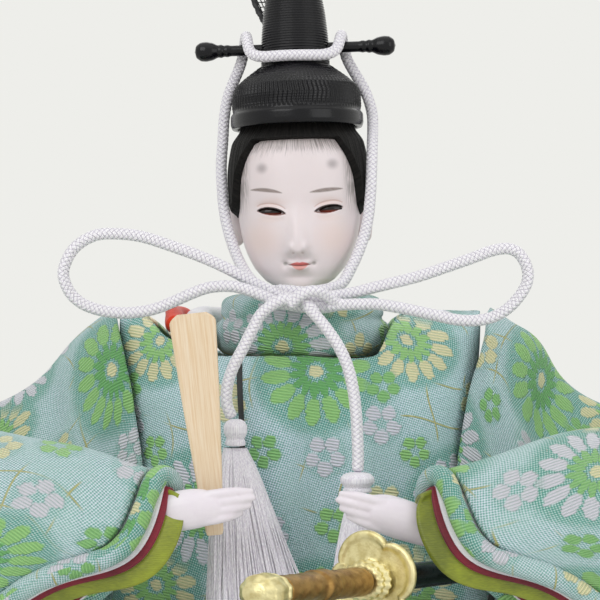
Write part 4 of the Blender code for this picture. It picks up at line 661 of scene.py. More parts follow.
def brocade_material(name, offset=(0.0, 0.0), turn=0.0, painted_light_scale=(1.0, 1.0, 1.0)):
    """Figured silk: chrysanthemums and blossoms in raised satin thread on a basket-woven ground, in millimetres."""
    made, g, shader = material(name, 0.6, Sheen_Weight=0.15)
    flat = g.uv()
    if turn:
        rotate = g.node("ShaderNodeVectorRotate", rotation_type="Z_AXIS")
        g.put(rotate.inputs["Vector"], flat)
        g.put(rotate.inputs["Angle"], turn)
        flat = rotate.outputs[0]
    at = g.vec("ADD", flat, (offset[0], offset[1], 0.0))
    u, v, _ = g.split(at)
    cloud = g.noise(at, 0.07, 2.0)
    speck = g.noise(at, 2.1, 2.0)
    # ground: a basket weave of pale floats over green warp
    row_u = g.math("MULTIPLY", g.math("ADD", u, g.math("MULTIPLY", v, 0.5)), 6.283 / 0.88)
    row_v = g.math("MULTIPLY", g.math("SUBTRACT", v, g.math("MULTIPLY", u, 0.5)), 6.283 / 0.88)
    dots = g.math("MULTIPLY", g.math("SINE", row_u), g.math("SINE", row_v))
    dots = g.math("ADD", dots, g.math("MULTIPLY", g.math("SUBTRACT", speck, 0.5), 1.3))
    ground = g.mix(g.step(dots, -0.45, 0.45), lin("7aaea8"), lin("d9e6ee"))
    ground = g.mix(g.math("MULTIPLY", g.step(cloud, 0.35, 0.65), 0.32), ground, lin("a6cbc0"))
    # richer ground round the flowers: dark green twill with pale and rust flecks
    rich = g.mix(g.step(dots, -0.2, 0.6), lin("4a9484"), lin("b2d5cd"))
    rich = g.mix(g.math("MULTIPLY", g.step(speck, 0.62, 0.70), 0.65), rich, lin("9c8468"))
    # the figure's edges step from thread to thread
    slant = g.math("ADD", v, g.math("MULTIPLY", u, 0.16))
    snapped = g.math("MULTIPLY", g.math("FLOOR", g.math("MULTIPLY", slant, 1 / THREAD)), THREAD)
    jitter = g.math("MULTIPLY", g.math("SUBTRACT", g.noise(g.join(g.math("MULTIPLY", u, 0.6), g.math("MULTIPLY", snapped, 9.0), 2.0), 1.0, 1.0), 0.5), 1.7)
    figure_at = g.join(g.math("ADD", u, jitter), g.math("ADD", g.math("SUBTRACT", g.math("MULTIPLY", g.math("ADD", snapped, slant), 0.5), g.math("MULTIPLY", u, 0.16)), THREAD / 4), 0.0)
    colour = ground
    figure = None
    field_all = None
    for centre, radius, petals, inner, outer in MOTIFS:
        away = g.vec("SUBTRACT", figure_at, (centre[0], centre[1], 0.0))
        wrap = g.node("ShaderNodeVectorMath", operation="WRAP")
        g.put(wrap.inputs[0], away)
        wrap.inputs[1].default_value = (TILE[0] / 2, TILE[1] / 2, 1.0)
        wrap.inputs[2].default_value = (-TILE[0] / 2, -TILE[1] / 2, -1.0)
        near = g.vec("MULTIPLY", wrap.outputs[0], (1 / radius, 1 / radius, 0.0))
        r = g.vec("LENGTH", near)
        x, y, _ = g.split(near)
        half = math.pi / petals
        sector = g.math("WRAP", g.math("ADD", g.math("ARCTAN2", y, x), 0.31), half, -half)
        reach = g.math("MULTIPLY", r, g.math("COSINE", sector))
        across = g.math("MULTIPLY", r, g.math("SINE", sector))

        def petal(middle, long, wide):
            p = g.math("MULTIPLY", g.math("SUBTRACT", reach, middle), 1 / long)
            q = g.math("MULTIPLY", across, 1 / wide)
            return g.math("SQRT", g.math("ADD", g.math("MULTIPLY", p, p), g.math("MULTIPLY", q, q)))

        soft = 0.10 if petals > 6 else 0.14
        if petals > 6:
            outside = g.step(petal(0.75, 0.25, math.tan(half) * 0.60), 1.0 + soft, 1.0 - soft)
            within = g.step(petal(0.36, 0.17, math.tan(half) * 0.33), 1.0 + soft, 1.0 - soft)
            heart = g.step(r, 0.14, 0.11)
            field = g.step(r, 1.30, 1.02)
            colour = g.mix(g.math("MULTIPLY", field, 0.88), colour, rich)
            colour = g.mix(outside, colour, outer)
            colour = g.mix(within, colour, inner)
            colour = g.mix(heart, colour, CREAM)
            mask = g.math("MAXIMUM", g.math("MAXIMUM", outside, within), heart)
        else:
            mask = g.step(petal(0.62, 0.36, 0.34), 1.0 + soft, 1.0 - soft)
            field = g.step(r, 1.25, 0.95)
            colour = g.mix(g.math("MULTIPLY", field, 0.35), colour, rich)
            colour = g.mix(mask, colour, outer)
        figure = mask if figure is None else g.math("MAXIMUM", mask, figure)
        field_all = field if field_all is None else g.math("MAXIMUM", field, field_all)
    # couched gold thread in a loose lattice over the plain ground
    bend_u = g.math("ADD", u, g.math("MULTIPLY", g.math("SINE", g.math("MULTIPLY", v, 0.23)), 1.6))
    bend_v = g.math("ADD", v, g.math("MULTIPLY", g.math("SINE", g.math("MULTIPLY", u, 0.19)), 1.8))
    line_u = g.math("ABSOLUTE", g.math("WRAP", bend_u, 5.4, -5.4))
    line_v = g.math("ABSOLUTE", g.math("WRAP", bend_v, 4.9, -4.9))
    lattice = g.math("MAXIMUM", g.step(line_u, 0.30, 0.12), g.step(line_v, 0.30, 0.12))
    lattice = g.math("MULTIPLY", lattice, g.step(g.noise(at, 0.045, 1.0), 0.47, 0.53))
    lattice = g.math("MULTIPLY", lattice, g.math("SUBTRACT", 1.0, field_all))
    colour = g.mix(g.math("MULTIPLY", lattice, 0.85), colour, lin("b5b062"))
    # satin: painted shade darkens each thread where it meets the next, and its crown keeps the full colour
    crown = g.math("COSINE", g.math("ADD", g.math("MULTIPLY", g.math("SUBTRACT", slant, snapped), 6.283 / THREAD), 3.1416))
    strand = g.noise(g.vec("MULTIPLY", at, (0.5, 4.0, 1.0)), 1.0, 2.0)
    thread_shade = g.math("MULTIPLY", g.step(g.math("SUBTRACT", g.math("MULTIPLY", strand, 1.1), crown), 0.75, 1.5), g.math("MULTIPLY", figure, 0.62))
    colour = g.mix(thread_shade, colour, g.vec("MULTIPLY", colour, (0.42, 0.58, 0.50)))
    # painted light: the colour is scaled so that one copy of this cloth shows brighter than the others
    g.put(shader.inputs["Base Color"], g.vec("MULTIPLY", colour, painted_light_scale))
    weave = g.math("MULTIPLY", g.math("SUBTRACT", 1.0, figure), g.math("MULTIPLY", dots, 0.34))
    relief = g.math("ADD", g.math("MULTIPLY", figure, g.math("ADD", 0.9, g.math("MULTIPLY", crown, 0.42))), weave)
    relief = g.math("ADD", relief, g.math("MULTIPLY", lattice, 0.5))
    g.put(shader.inputs["Normal"], g.bump(relief, 0.00034, 1.0))
    g.put(shader.inputs["Roughness"], g.math("SUBTRACT", 0.66, g.math("MULTIPLY", figure, 0.24)))
    return made


def silk_material(name, colour, dark, roughness=0.5, pitch=2600.0, **sockets):
    """Plain silk with a fine crosswise thread and soft changes of tone."""
    made, g, shader = material(name, roughness, Sheen_Weight=0.25, **sockets)
    place = g.place()
    tone = g.noise(place, 90.0, 3.0)
    fine = g.noise(g.vec("MULTIPLY", place, (1.0, 1.0, 6.0)), 800.0, 2.0)
    g.put(shader.inputs["Base Color"], g.mix(g.step(g.math("ADD", tone, g.math("MULTIPLY", fine, 0.4)), 0.4, 0.95), lin(dark), lin(colour)))
    _, _, z = g.split(place)
    rib = g.math("SINE", g.math("MULTIPLY", z, 6.283 * pitch))
    g.put(shader.inputs["Normal"], g.bump(g.math("ADD", g.math("MULTIPLY", rib, 0.3), fine), 0.00005, 0.7))
    return made


WHITE_SILK = silk_material("white_silk_cloth", "efeef0", "d5d3da", 0.5)
RED_SILK = silk_material("red_silk_cloth", "ea3a00", "b92a00", 0.8)
CRIMSON = silk_material("crimson_silk", "8a0f2c", "5e081c", 0.6)
OLIVE = silk_material("olive_satin", "98a326", "66701a", 0.36)
LINING_WHITE = silk_material("lining_silk_white", "eeecf0", "cfccd4", 0.5)
BELT_CLOTH = silk_material("belt_cloth", "232426", "121214", 0.55)

# ---- robe ----
ROBE_HALF_W = 0.0475
ROBE_FRONT = 0.0285
ROBE_BACK = 0.0270
ROBE_SHARES = (
    (0.0, 1.56, 2.74, 2.00),
    (0.18, 1.39, 2.39, 1.70),
    (0.336, 1.14, 1.82, 1.33),
    (0.456, 0.92, 1.19, 1.07),
    (0.54, 0.84, 0.95, 0.95),
    (0.624, 0.84, 1.0, 1.0),
    (0.73, 0.85, 1.0, 1.0),
    (0.828, 0.86, 0.95, 0.96),
    (0.888, 0.90, 0.86, 0.89),
    (0.935, 0.92, 0.70, 0.74),
    (0.970, 0.93, 0.49, 0.53),
    (0.992, 0.935, 0.26, 0.28),
    (1.0, 0.94, 0.034, 0.034),
)
NECK_EDGE_Z = ROBE_TOP - 0.0106
NECK_LEFT_SHARES = ((0.0, 0.0), (0.42, 0.0), (0.51, 0.70), (0.60, 0.95), (0.70, 1.0), (1.0, 1.0))
NECK_RIGHT_SHARES = ((0.0, 0.0), (0.46, 0.0), (0.60, 0.15), (0.74, 0.42), (0.84, 0.82), (0.92, 1.0), (1.0, 1.0))


def robe_point(degrees, z, out=0.0):
    wide, front, back = along(ROBE_SHARES, z / ROBE_TOP)
    a = math.radians(degrees)
    s = math.sin(a)
    c = math.cos(a)
    reach = ROBE_FRONT * front if c > 0 else ROBE_BACK * back
    return np.array(((ROBE_HALF_W * wide + out) * s, -(reach + out) * math.copysign(abs(c) ** 0.60, c), z))


def neck_edge(degrees):
    share = math.sin(math.radians(degrees))
    rise = float(along(NECK_LEFT_SHARES if share > 0 else NECK_RIGHT_SHARES, abs(share))[0])
    return NECK_EDGE_Z + (ROBE_TOP - NECK_EDGE_Z) * rise


def robe_grid(from_deg, to_deg, side_from, side_to, rows, columns, wrap=False):
    """The panel's grid of points from hem to neck."""
    even_top = ROBE_TOP * 0.888
    grid = []
    for j in range(rows + 1):
        share = j / rows
        row = []
        for i in range(columns + 1):
            top_deg = from_deg + (to_deg - from_deg) * i / columns
            edge = neck_edge(top_deg)
            if share <= 0.86:
                z = HEM_Z + (even_top - HEM_Z) * share / 0.86
            else:
                z = even_top + (edge - even_top) * (share - 0.86) / 0.14
            low = float(smooth_step(0.118, 0.098, z)) if z > 0.098 else 1.0
            low = 1.0 if z <= 0.098 else (0.0 if z >= 0.118 else (lambda q: q * q * (3 - 2 * q))((0.118 - z) / 0.02))
            start = from_deg + (side_from - from_deg) * low
            end = to_deg + (side_to - to_deg) * low
            degrees = start + (end - start) * i / columns
            out = 0.0
            if wrap:
                q = min(max((degrees + 8.0) / 12.0, 0.0), 1.0)
                out = 0.0032 * (1 - q * q * (3 - 2 * q))
            side = abs(math.sin(math.radians(degrees)))
            out += 0.0062 * min(max((side - 0.80) / 0.19, 0.0), 1.0) * math.exp(-(((z - 0.090) / 0.026) ** 2))
            row.append(robe_point(degrees, z, out))
        grid.append(row)
    return np.array(grid)


def sheet_of(piece, grid, closed=False):
    """Records a sheet's flat size, as its grid measures it, in SHEETS."""
    pts = np.concatenate([grid, grid[:, :1]], axis=1) if closed else grid
    wide = np.linalg.norm(np.diff(pts, axis=1), axis=2).sum(axis=1)
    tall = np.linalg.norm(np.diff(pts, axis=0), axis=2).sum(axis=0)
    flat_w = float(np.percentile(wide, 85))
    flat_l = float(np.percentile(tall, 85))
    SHEETS[piece.name] = (round(flat_w, 4), round(flat_l, 4))


SHEETS = {}


def front_uv(grid):
    """Flat coordinates that match the front middle line: across from x = 0, up as the height above the camera's level."""
    level = grid * (1.0, 1.0, 0.0)
    wide = np.linalg.norm(np.diff(level, axis=1), axis=2)
    run = np.concatenate([np.zeros((len(grid), 1)), np.cumsum(wide, axis=1)], axis=1)
    for j in range(len(grid)):
        k = int(np.argmin(np.abs(grid[j, :, 0])))
        run[j] += grid[j, k, 0] - run[j, k]
    k = int(np.argmin(np.abs(grid[-1, :, 0])))
    tall = np.linalg.norm(np.diff(grid[:, k], axis=0), axis=1)
    rise = np.concatenate([[0.0], np.cumsum(tall)])
    height = grid[:, k, 2]
    rise += 0.135 - 0.170 - np.interp(0.135, height, rise)
    up = np.interp(grid[..., 2], height, rise) + np.maximum(grid[..., 2] - height[-1], 0.0) * 1.1
    return np.stack([run, up], axis=2) * 1000.0


# the robe's copy of the brocade gets painted light, brighter than the sleeves' copies of the same cloth
ROBE_LOOK = brocade_material("robe_brocade", painted_light_scale=(1.13, 1.12, 1.17))
for name, limits, columns, wrap in (
    ("robe_front_right", (-84.5, -6.0, -86.0, -6.0), 48, False),
    ("robe_front_left", (-17.0, 84.5, -17.0, 86.0), 60, True),
    ("robe_back", (97.0, 263.0, 87.6, 272.4), 84, False),
):
    grid = robe_grid(*limits, 84, columns, wrap)
    uv = front_uv(grid) if name != "robe_back" else flat_uv(grid) * (-1.0, 1.0)
    look = ROBE_LOOK
    inner = smooth_step(0.0, 0.10, np.minimum(np.linspace(0, 1, columns + 1), np.linspace(1, 0, columns + 1)))[None, :]
    low = smooth_step(0.115, 0.06, grid[..., 2])
    puff = waves(grid * (1.0, 1.0, 0.5), 11, 4, 0.034) * 0.00045 * (0.35 + 0.65 * low) * inner
    creases = np.cos(grid[..., 0] / 0.0085 + 0.9 * np.sin(grid[..., 2] / 0.021)) * 0.0010 * low * inner
    normal = normals_of(grid)
    middle = grid.mean(axis=(0, 1))
    flip = np.sign(((grid - np.array((0.0, 0.0, 0.1))) * normal).sum(axis=2).mean())
    grid = grid + normal * flip * (puff + creases)[..., None]
    grid[..., 2] = np.maximum(grid[..., 2], HEM_Z)
    piece = grid_object(name + "_cloth", grid, look, uv=uv, thick=CLOTH)
    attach(piece, "torso")
    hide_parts(name)
    sheet_of(piece, grid)

# a dark sheet laid in the opening where the left front laps over the right, as painted shade
slit_shade_sheet = []
for z in np.linspace(0.106, NECK_EDGE_Z - 0.0012, 60):
    slit_shade_sheet.append([robe_point(d, z, CLOTH / 2 + 0.0009) for d in np.linspace(-19.6, -14.0, 8)])
slit_shade_sheet = grid_object("robe_slit_shade_dark", np.array(slit_shade_sheet), BELT_CLOTH, thick=0.0006)
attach(slit_shade_sheet, "torso")

# ---- sleeves ----
SLEEVE_STATIONS = (
    (
        (0.3500, -0.51, 0.018), (0.1938, -0.38, 0.35), (0.1087, -0.27, 0.67),
        (0.1125, -0.18, 0.89), (0.1313, 0.0, 1.0), (0.0963, 0.17, 0.945),
        (0.0825, 0.24, 0.86), (0.0650, 0.275, 0.77), (0.0700, 0.29, 0.69),
    ),
    (
        (0.5125, -0.60, 0.018), (0.4313, -0.48, 0.34), (0.3313, -0.35, 0.62),
        (0.2625, -0.20, 0.805), (0.2250, 0.0, 0.932), (0.1812, 0.235, 0.853),
        (0.1812, 0.31, 0.78), (0.1875, 0.32, 0.72), (0.1975, 0.32, 0.675),
    ),
    (
        (0.8125, -0.48, 0.018), (0.7000, -0.40, 0.33), (0.5813, -0.28, 0.60),
        (0.4812, -0.13, 0.757), (0.3875, 0.02, 0.860), (0.3500, 0.150, 0.80),
        (0.3587, 0.185, 0.74), (0.3663, 0.185, 0.70), (0.3788, 0.185, 0.665),
    ),
    (
        (0.9938, -0.06, 0.018), (0.9312, 0.05, 0.33), (0.8250, 0.13, 0.60),
        (0.7125, 0.16, 0.745), (0.6125, 0.10, 0.806), (0.5188, 0.11, 0.745),
        (0.5087, 0.13, 0.70), (0.5312, 0.15, 0.63), (0.6125, 0.14, 0.53),
    ),
    (
        (1.0000, 0.20, 0.018), (0.8813, 0.44, 0.335), (0.7188, 0.60, 0.625),
        (0.5688, 0.565, 0.770), (0.4662, 0.350, 0.833), (0.4000, 0.235, 0.745),
        (0.4313, 0.29, 0.65), (0.5625, 0.32, 0.53), (0.7250, 0.24, 0.30),
    ),
    (
        (0.9625, 0.49, 0.018), (0.7500, 0.72, 0.35), (0.4875, 0.885, 0.635),
        (0.3188, 0.830, 0.770), (0.2625, 0.600, 0.837), (0.1962, 0.480, 0.735),
        (0.3000, 0.53, 0.625), (0.5312, 0.52, 0.445), (0.7625, 0.42, 0.12),
    ),
    (
        (0.8662, 0.72, 0.018), (0.6663, 0.87, 0.34), (0.3162, 0.985, 0.625),
        (0.0950, 1.0, 0.708), (0.0475, 0.855, 0.808), (0.0300, 0.700, 0.724),
        (0.1700, 0.74, 0.617), (0.4750, 0.73, 0.43), (0.7750, 0.58, 0.018),
    ),
)


def sleeve_grid(side, t_all, s_all):
    stations = np.array(SLEEVE_STATIONS)
    grid = np.einsum("ti,sj,ijk->tsk", weights(7, t_all), weights(9, s_all), stations)
    wide = 0.030 + 0.120 * grid[..., 0]
    grid = np.stack(
        [side * wide, -0.070 * grid[..., 1], np.maximum(0.1665 * grid[..., 2], HEM_Z + CLOTH)], axis=2
    )
    # the cloth sags over the wrist at the mouth, and stands fuller on the shoulder
    sag = smooth_step(0.70, 1.0, t_all)[:, None] * np.exp(-(((s_all - 0.53) / 0.075) ** 2))[None, :]
    grid = grid + sag[..., None] * (-side * 0.0032, -0.0004, -0.0030)
    full = (0.0062 if side > 0 else 0.0036) * np.exp(-(((grid[..., 2] - 0.1575) / 0.0090) ** 2)) * np.exp(-(((np.abs(grid[..., 0]) - 0.051) / 0.013) ** 2))
    return grid + full[..., None] * (side * 0.80, -0.25, 0.42)


def sleeve_uv(grid):
    """Across the sleeve from armhole to mouth, and down both sides from its ridge."""
    down = np.linalg.norm(np.diff(grid, axis=1), axis=2)
    run = np.concatenate([np.zeros((len(grid), 1)), np.cumsum(down, axis=1)], axis=1)
    ridge = run.shape[1] // 2
    run = run[:, ridge][:, None] - run
    out = np.linalg.norm(np.diff(grid, axis=0), axis=2)[:, grid.shape[1] // 3 :].mean(axis=1)
    reach = np.concatenate([[0.0], np.cumsum(out)])
    return np.stack([np.repeat(reach[:, None], run.shape[1], axis=1), run], axis=2) * 1000.0


def seen_at(grid, pixel, from_column):
    """The grid cell whose point the camera sees nearest to a pixel of a 600-wide frame."""
    part = grid[:, from_column:]
    deep = (0.52 + part[..., 1]) / 0.52
    px = 300 + part[..., 0] / (0.00025 * deep)
    py = 300 - (part[..., 2] - 0.17) / (0.00025 * deep)
    k = np.argmin((px - pixel[0]) ** 2 + (py - pixel[1]) ** 2)
    i, j = np.unravel_index(k, px.shape)
    return int(i), int(j) + from_column


def into_sleeve(grid, side, inward):
    return grid + side * inward * -normals_of(grid) * (1.0 if side > 0 else 1.0)


def soften(rows, reach=6):
    """Directions along an edge, averaged with their neighbours."""
    wide = np.pad(rows, ((reach, reach), (0, 0)), mode="edge")
    total = sum(wide[k : k + len(rows)] for k in range(2 * reach + 1))
    return total / np.linalg.norm(total, axis=1, keepdims=True)


SLEEVE_T = 96
SLEEVE_S = 120
for side, name in ((-1, "right"), (1, "left")):
    t_all = np.linspace(0.0, 1.0, SLEEVE_T)
    s_all = np.linspace(0.0, 1.0, SLEEVE_S)
    base = sleeve_grid(side, t_all, s_all)
    # the surface's outward side
    normal = normals_of(base)
    inside = base.mean(axis=1, keepdims=True)
    outward = normal * np.sign(((base - inside) * normal).sum(axis=2).mean())
    shade_t = smooth_step(0.0, 0.08, t_all)[:, None] * smooth_step(1.0, 0.90, t_all)[:, None]
    shade_s = smooth_step(0.0, 0.04, s_all)[None, :] * smooth_step(1.0, 0.96, s_all)[None, :]
    fade = shade_t * shade_s
    puff = waves(base, 21 + side, 5, 0.040) * 0.0007
    # folds that run down from the ridge
    folds = 0.0
    for at_t, lean, depth, width in ((0.22, 0.10, 0.0014, 0.035), (0.37, -0.06, 0.0010, 0.03), (0.80, 0.12, 0.0010, 0.03)):
        line = t_all[:, None] - at_t - lean * (s_all[None, :] - 0.5)
        folds = folds - depth * np.exp(-((line / width) ** 2)) * smooth_step(0.52, 0.6, s_all)[None, :]
    grid = base + outward * (fade * (puff + folds))[..., None]
    grid[..., 2] = np.maximum(grid[..., 2], HEM_Z + CLOTH)
    uv = sleeve_uv(grid)
    if side > 0:
        i, j = seen_at(grid, (587, 582), SLEEVE_S // 2)
        target = (40.0, -50.0)
    else:
        uv = uv * (-1.0, 1.0)
        i, j = seen_at(grid, (20, 460), SLEEVE_S // 2)
        target = (28.3, -8.4)
    offset = (target[0] - float(uv[i, j, 0]), target[1] - float(uv[i, j, 1]))
    look = brocade_material("sleeve_brocade_" + name, offset)
    piece = grid_object("sleeve_cloth_" + name, grid, look, uv=uv, thick=CLOTH)
    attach(piece, "torso")
    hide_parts("sleeve_" + name)
    # the rolled brocade edge beyond the mouth
    last = base[-1]
    before = base[-2]
    out = last - before
    out /= np.linalg.norm(out, axis=1, keepdims=True)
    route = last + out * (0.0022 + CLOTH / 2 + 0.0004)
    route = route[route[:, 2] > 0.0022 + HEM_Z]
    run = np.concatenate([[0.0], np.cumsum(np.linalg.norm(np.diff(route, axis=0), axis=1))])
    at = np.linspace(0.0, run[-1], 260)
    route = np.stack([np.interp(at, run, route[:, k]) for k in range(3)], axis=1)
    bulge = 0.00236 + 0.00012 * np.sin(at / 0.0045) * np.sin(at / 0.0017 + 1.0)
    roll = tube_object("sleeve_roll_" + name, route, bulge, brocade_material("roll_brocade_" + name, (side * 9.0, 5.0)), around=20)
    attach(roll, "torso")
    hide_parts("sleeve_edge_" + name)
    sheet_of(piece, grid)
    # linings inside the mouth that reach out past the rolled edge
    inward = CLOTH / 2 + 0.0007 + 0.0004
    t_lin = np.linspace(0.80, 1.0, 20)
    s_lin = np.linspace(0.125, 0.875, 110)
    for colour, look, beyond in (("white", LINING_WHITE, 0.0058), ("crimson", CRIMSON, 0.0070), ("olive", OLIVE, 0.0108)):
        lin_grid = sleeve_grid(side, t_lin, s_lin)
        lin_normal = normals_of(lin_grid)
        lin_out = lin_normal * np.sign(((lin_grid - lin_grid.mean(axis=1, keepdims=True)) * lin_normal).sum(axis=2).mean())
        top = np.exp(-(((s_lin - 0.585) / np.where(s_lin > 0.585, 0.13, 0.12)) ** 4))[:, None]
        lin_grid = lin_grid - lin_out * (inward * (1 - 0.66 * top) + 0.0009 * top)
        end = lin_grid[-1]
        ahead = soften(end - lin_grid[-3])
        if colour == "olive":
            beyond = beyond + 0.0016 * np.sin(s_lin * 47.0 + 1.0)[:, None] * smooth_step(0.55, 0.62, s_lin)[:, None]
        steps = np.linspace(0.0, 1.0, 13)[1:, None, None]
        facing_out = soften(lin_out[-1])
        sink = -facing_out * (0.0012 + 0.0012 * (colour == "olive")) * (1 - 0.8 * top)
        more = end + (ahead * beyond) * (1 - 0.25 * top) * steps + sink * steps**2
        if colour == "olive":
            ripple = np.sin(s_lin * 62.0 + 2.6 * steps[:, :, 0]) * 0.0013 * steps[:, :, 0] * smooth_step(0.60, 0.68, s_lin)
            more = more + facing_out * ripple[..., None]
        lin_grid = np.concatenate([lin_grid, more], axis=0)
        lin_grid[..., 2] = np.maximum(lin_grid[..., 2], HEM_Z + 0.0006)
        band = grid_object("lining_" + colour + "_cloth_" + name, lin_grid, look, thick=0.0008)
        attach(band, "torso")
        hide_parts("lining_" + colour + "_" + name)
        sheet_of(band, lin_grid)
        inward += 0.0013


# ---- collars ----
def ring_points(centre, profile, steps, wobble=0.0, seed=3):
    """Rows of points round a centre, one row to each profile point, for a closed ring of cloth."""
    angle = np.arange(steps) * 2 * math.pi / steps
    profile = np.asarray(profile, float)
    rows = []
    for r, z in profile:
        circle = np.stack([np.sin(angle), -np.cos(angle), np.zeros(steps)], axis=1)
        reach = r + wobble * waves(circle * 0.02 + (0, 0, z), seed, 4, 0.02)
        rows.append(np.stack([centre[0] + reach * circle[:, 0], centre[1] + reach * circle[:, 1], np.full(steps, z)], axis=1))
    return np.array(rows)


COLLAR_AT = (0.0006, 0.0005)
COLLAR_R = 0.0216
COLLAR_H = 0.0152
COLLAR_SHARES = (
    (0.55, 1.00),
    (0.76, 1.0),
    (0.90, 0.94),
    (0.945, 0.83),
    (0.92, 0.73),
    (0.975, 0.63),
    (1.01, 0.38),
    (0.985, 0.12),
    (0.89, 0.0),
    (0.56, 0.0),
    (0.49, 0.12),
    (0.49, 0.90),
)
collar_line = fine_profile([(COLLAR_R * r, COLLAR_Z + COLLAR_H * z) for r, z in (*COLLAR_SHARES, COLLAR_SHARES[0])], 72)
collar_line[-1] = collar_line[0]


groove = 0.0013 * np.exp(-(((collar_line[:, 1] - COLLAR_Z - 0.60 * COLLAR_H) / 0.0009) ** 2)) * (collar_line[:, 0] > 0.75 * COLLAR_R)
collar_line[:, 0] -= groove
rows = np.roll(ring_points(COLLAR_AT, collar_line, 160, 0.00022), 80, axis=1)
collar_uv = flat_uv(rows, closed=True)
k = int(np.argmax(rows[:, 80, 2] * -400 - rows[:, 80, 1] * 1000))
collar_look = brocade_material("collar_brocade", (40.0 - float(collar_uv[k, 80, 0]) - 4.0, -50.0 - float(collar_uv[k, 80, 1])))
collar = grid_object("collar_cloth", rows[:, ::-1], collar_look, uv=collar_uv, closed=True)
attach(collar, "torso")
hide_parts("collar")

inner_r = COLLAR_R * 0.49 - 0.0003
line = fine_profile(
    [
        (inner_r - 0.0022, COLLAR_Z),
        (inner_r - 0.0023, COLLAR_Z + COLLAR_H * 0.9),
        (inner_r - 0.0012, COLLAR_Z + COLLAR_H + 0.0010),
        (inner_r, COLLAR_Z + COLLAR_H * 0.95),
        (inner_r, COLLAR_Z),
        (inner_r - 0.0022, COLLAR_Z),
    ],
    34,
)
line[-1] = line[0]
band = ring_points(COLLAR_AT, line, 120, 0.00012, 5)
collar_inner = grid_object("collar_band_inner", band[:, ::-1], WHITE_SILK, closed=True)
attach(collar_inner, "torso")
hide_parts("collar_inner")
for name, route, radius, look in (
    ("collar_white", (
    (-0.0240, -0.0085, 0.0037),
    (-0.0253, -0.0030, 0.0069),
    (-0.0251, 0.0050, 0.0087),
    (-0.0221, 0.0135, 0.0085),
    (-0.0164, 0.0203, 0.0077),
    ), 0.0034, WHITE_SILK),
    ("collar_red", (
    (-0.0310, -0.0050, 0.0075),
    (-0.0316, 0.0010, 0.0095),
    (-0.0315, 0.0070, 0.0101),
    (-0.0296, 0.0126, 0.0093),
    ), 0.0023, RED_SILK),
):
    path = smooth_route(route, 0.0004) + np.array((0.0, 0.0, COLLAR_Z))
    roll = tube_object(name + "_roll", path, radius, look, around=28, relief=lambda a, r: 0.00012 * np.sin(3 * a + r / 0.004) + 0.00008 * np.sin(r / 0.0016 + 2 * a))
    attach(roll, "torso")
    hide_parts(name)

# ---- head ----
HEAD_HEIGHT = 0.0570
HEAD_HALF_W = 0.0157
HEAD_FRONT = 0.0160
HEAD_BACK = 0.0190
HEAD_SHARES = (
    (0.130, 0.13, 0.78, -0.52),
    (0.144, 0.35, 0.85, -0.26),
    (0.175, 0.54, 0.89, -0.02),
    (0.228, 0.71, 0.92, 0.26),
    (0.298, 0.84, 0.95, 0.53),
    (0.368, 0.92, 0.97, 0.74),
    (0.456, 0.97, 0.975, 0.90),
    (0.544, 0.995, 0.99, 0.97),
    (0.649, 1.0, 1.0, 1.0),
    (0.754, 0.94, 0.96, 0.97),
    (0.842, 0.85, 0.86, 0.89),
    (0.912, 0.72, 0.73, 0.77),
    (0.965, 0.52, 0.53, 0.58),
    (1.0, 0.20, 0.20, 0.26),
)
HEAD_TABLE = [(share[0], *share) for share in HEAD_SHARES]


def head_surface(z, angle, grow=0.0):
    """Points of the head's surface at heights z and angles from the front, in the head's own frame."""
    z = np.asarray(z, float)
    low = HEAD_SHARES[0][0]
    rows = along(HEAD_TABLE, np.clip(z / HEAD_HEIGHT, low, 1.0))
    _, wide, front, back = (rows[..., k] for k in range(4))
    half_w = HEAD_HALF_W * wide + grow
    reach_front = HEAD_FRONT * front + grow
    reach_back = HEAD_BACK * back + grow
    middle = (reach_back - reach_front) / 2
    half_d = (reach_back + reach_front) / 2
    power = 0.84 + 0.16 * smooth_step(0.70, 0.84, z / HEAD_HEIGHT)
    s = np.sin(angle)
    c = np.cos(angle)
    x = half_w * np.sign(s) * np.abs(s) ** power
    y = middle - half_d * np.sign(c) * np.abs(c) ** power
    return np.stack(np.broadcast_arrays(x, y, z), axis=-1)


def bell(value, middle, width):
    return np.exp(-(((value - middle) / width) ** 2))


# each eye's middle, half width, outer and inner corner heights, and how far its lids open
EYES = ((-0.0063, 0.0033, 0.0270, 0.0261, 0.00092, 0.00062), (0.00765, 0.0032, 0.0264, 0.0274, 0.00085, 0.00075))


def lid_lines(x, eye):
    """Heights of the upper and lower lids over an eye at x, in metres above the pivot."""
    middle, half, near_z, far_z, opens, drops = eye
    u = (x - middle) / half
    room = np.maximum(1 - u**2, 0.0)
    line = (near_z + far_z) / 2 + u * (far_z - near_z) / 2
    return line + opens * room**0.75, line - drops * room**0.9


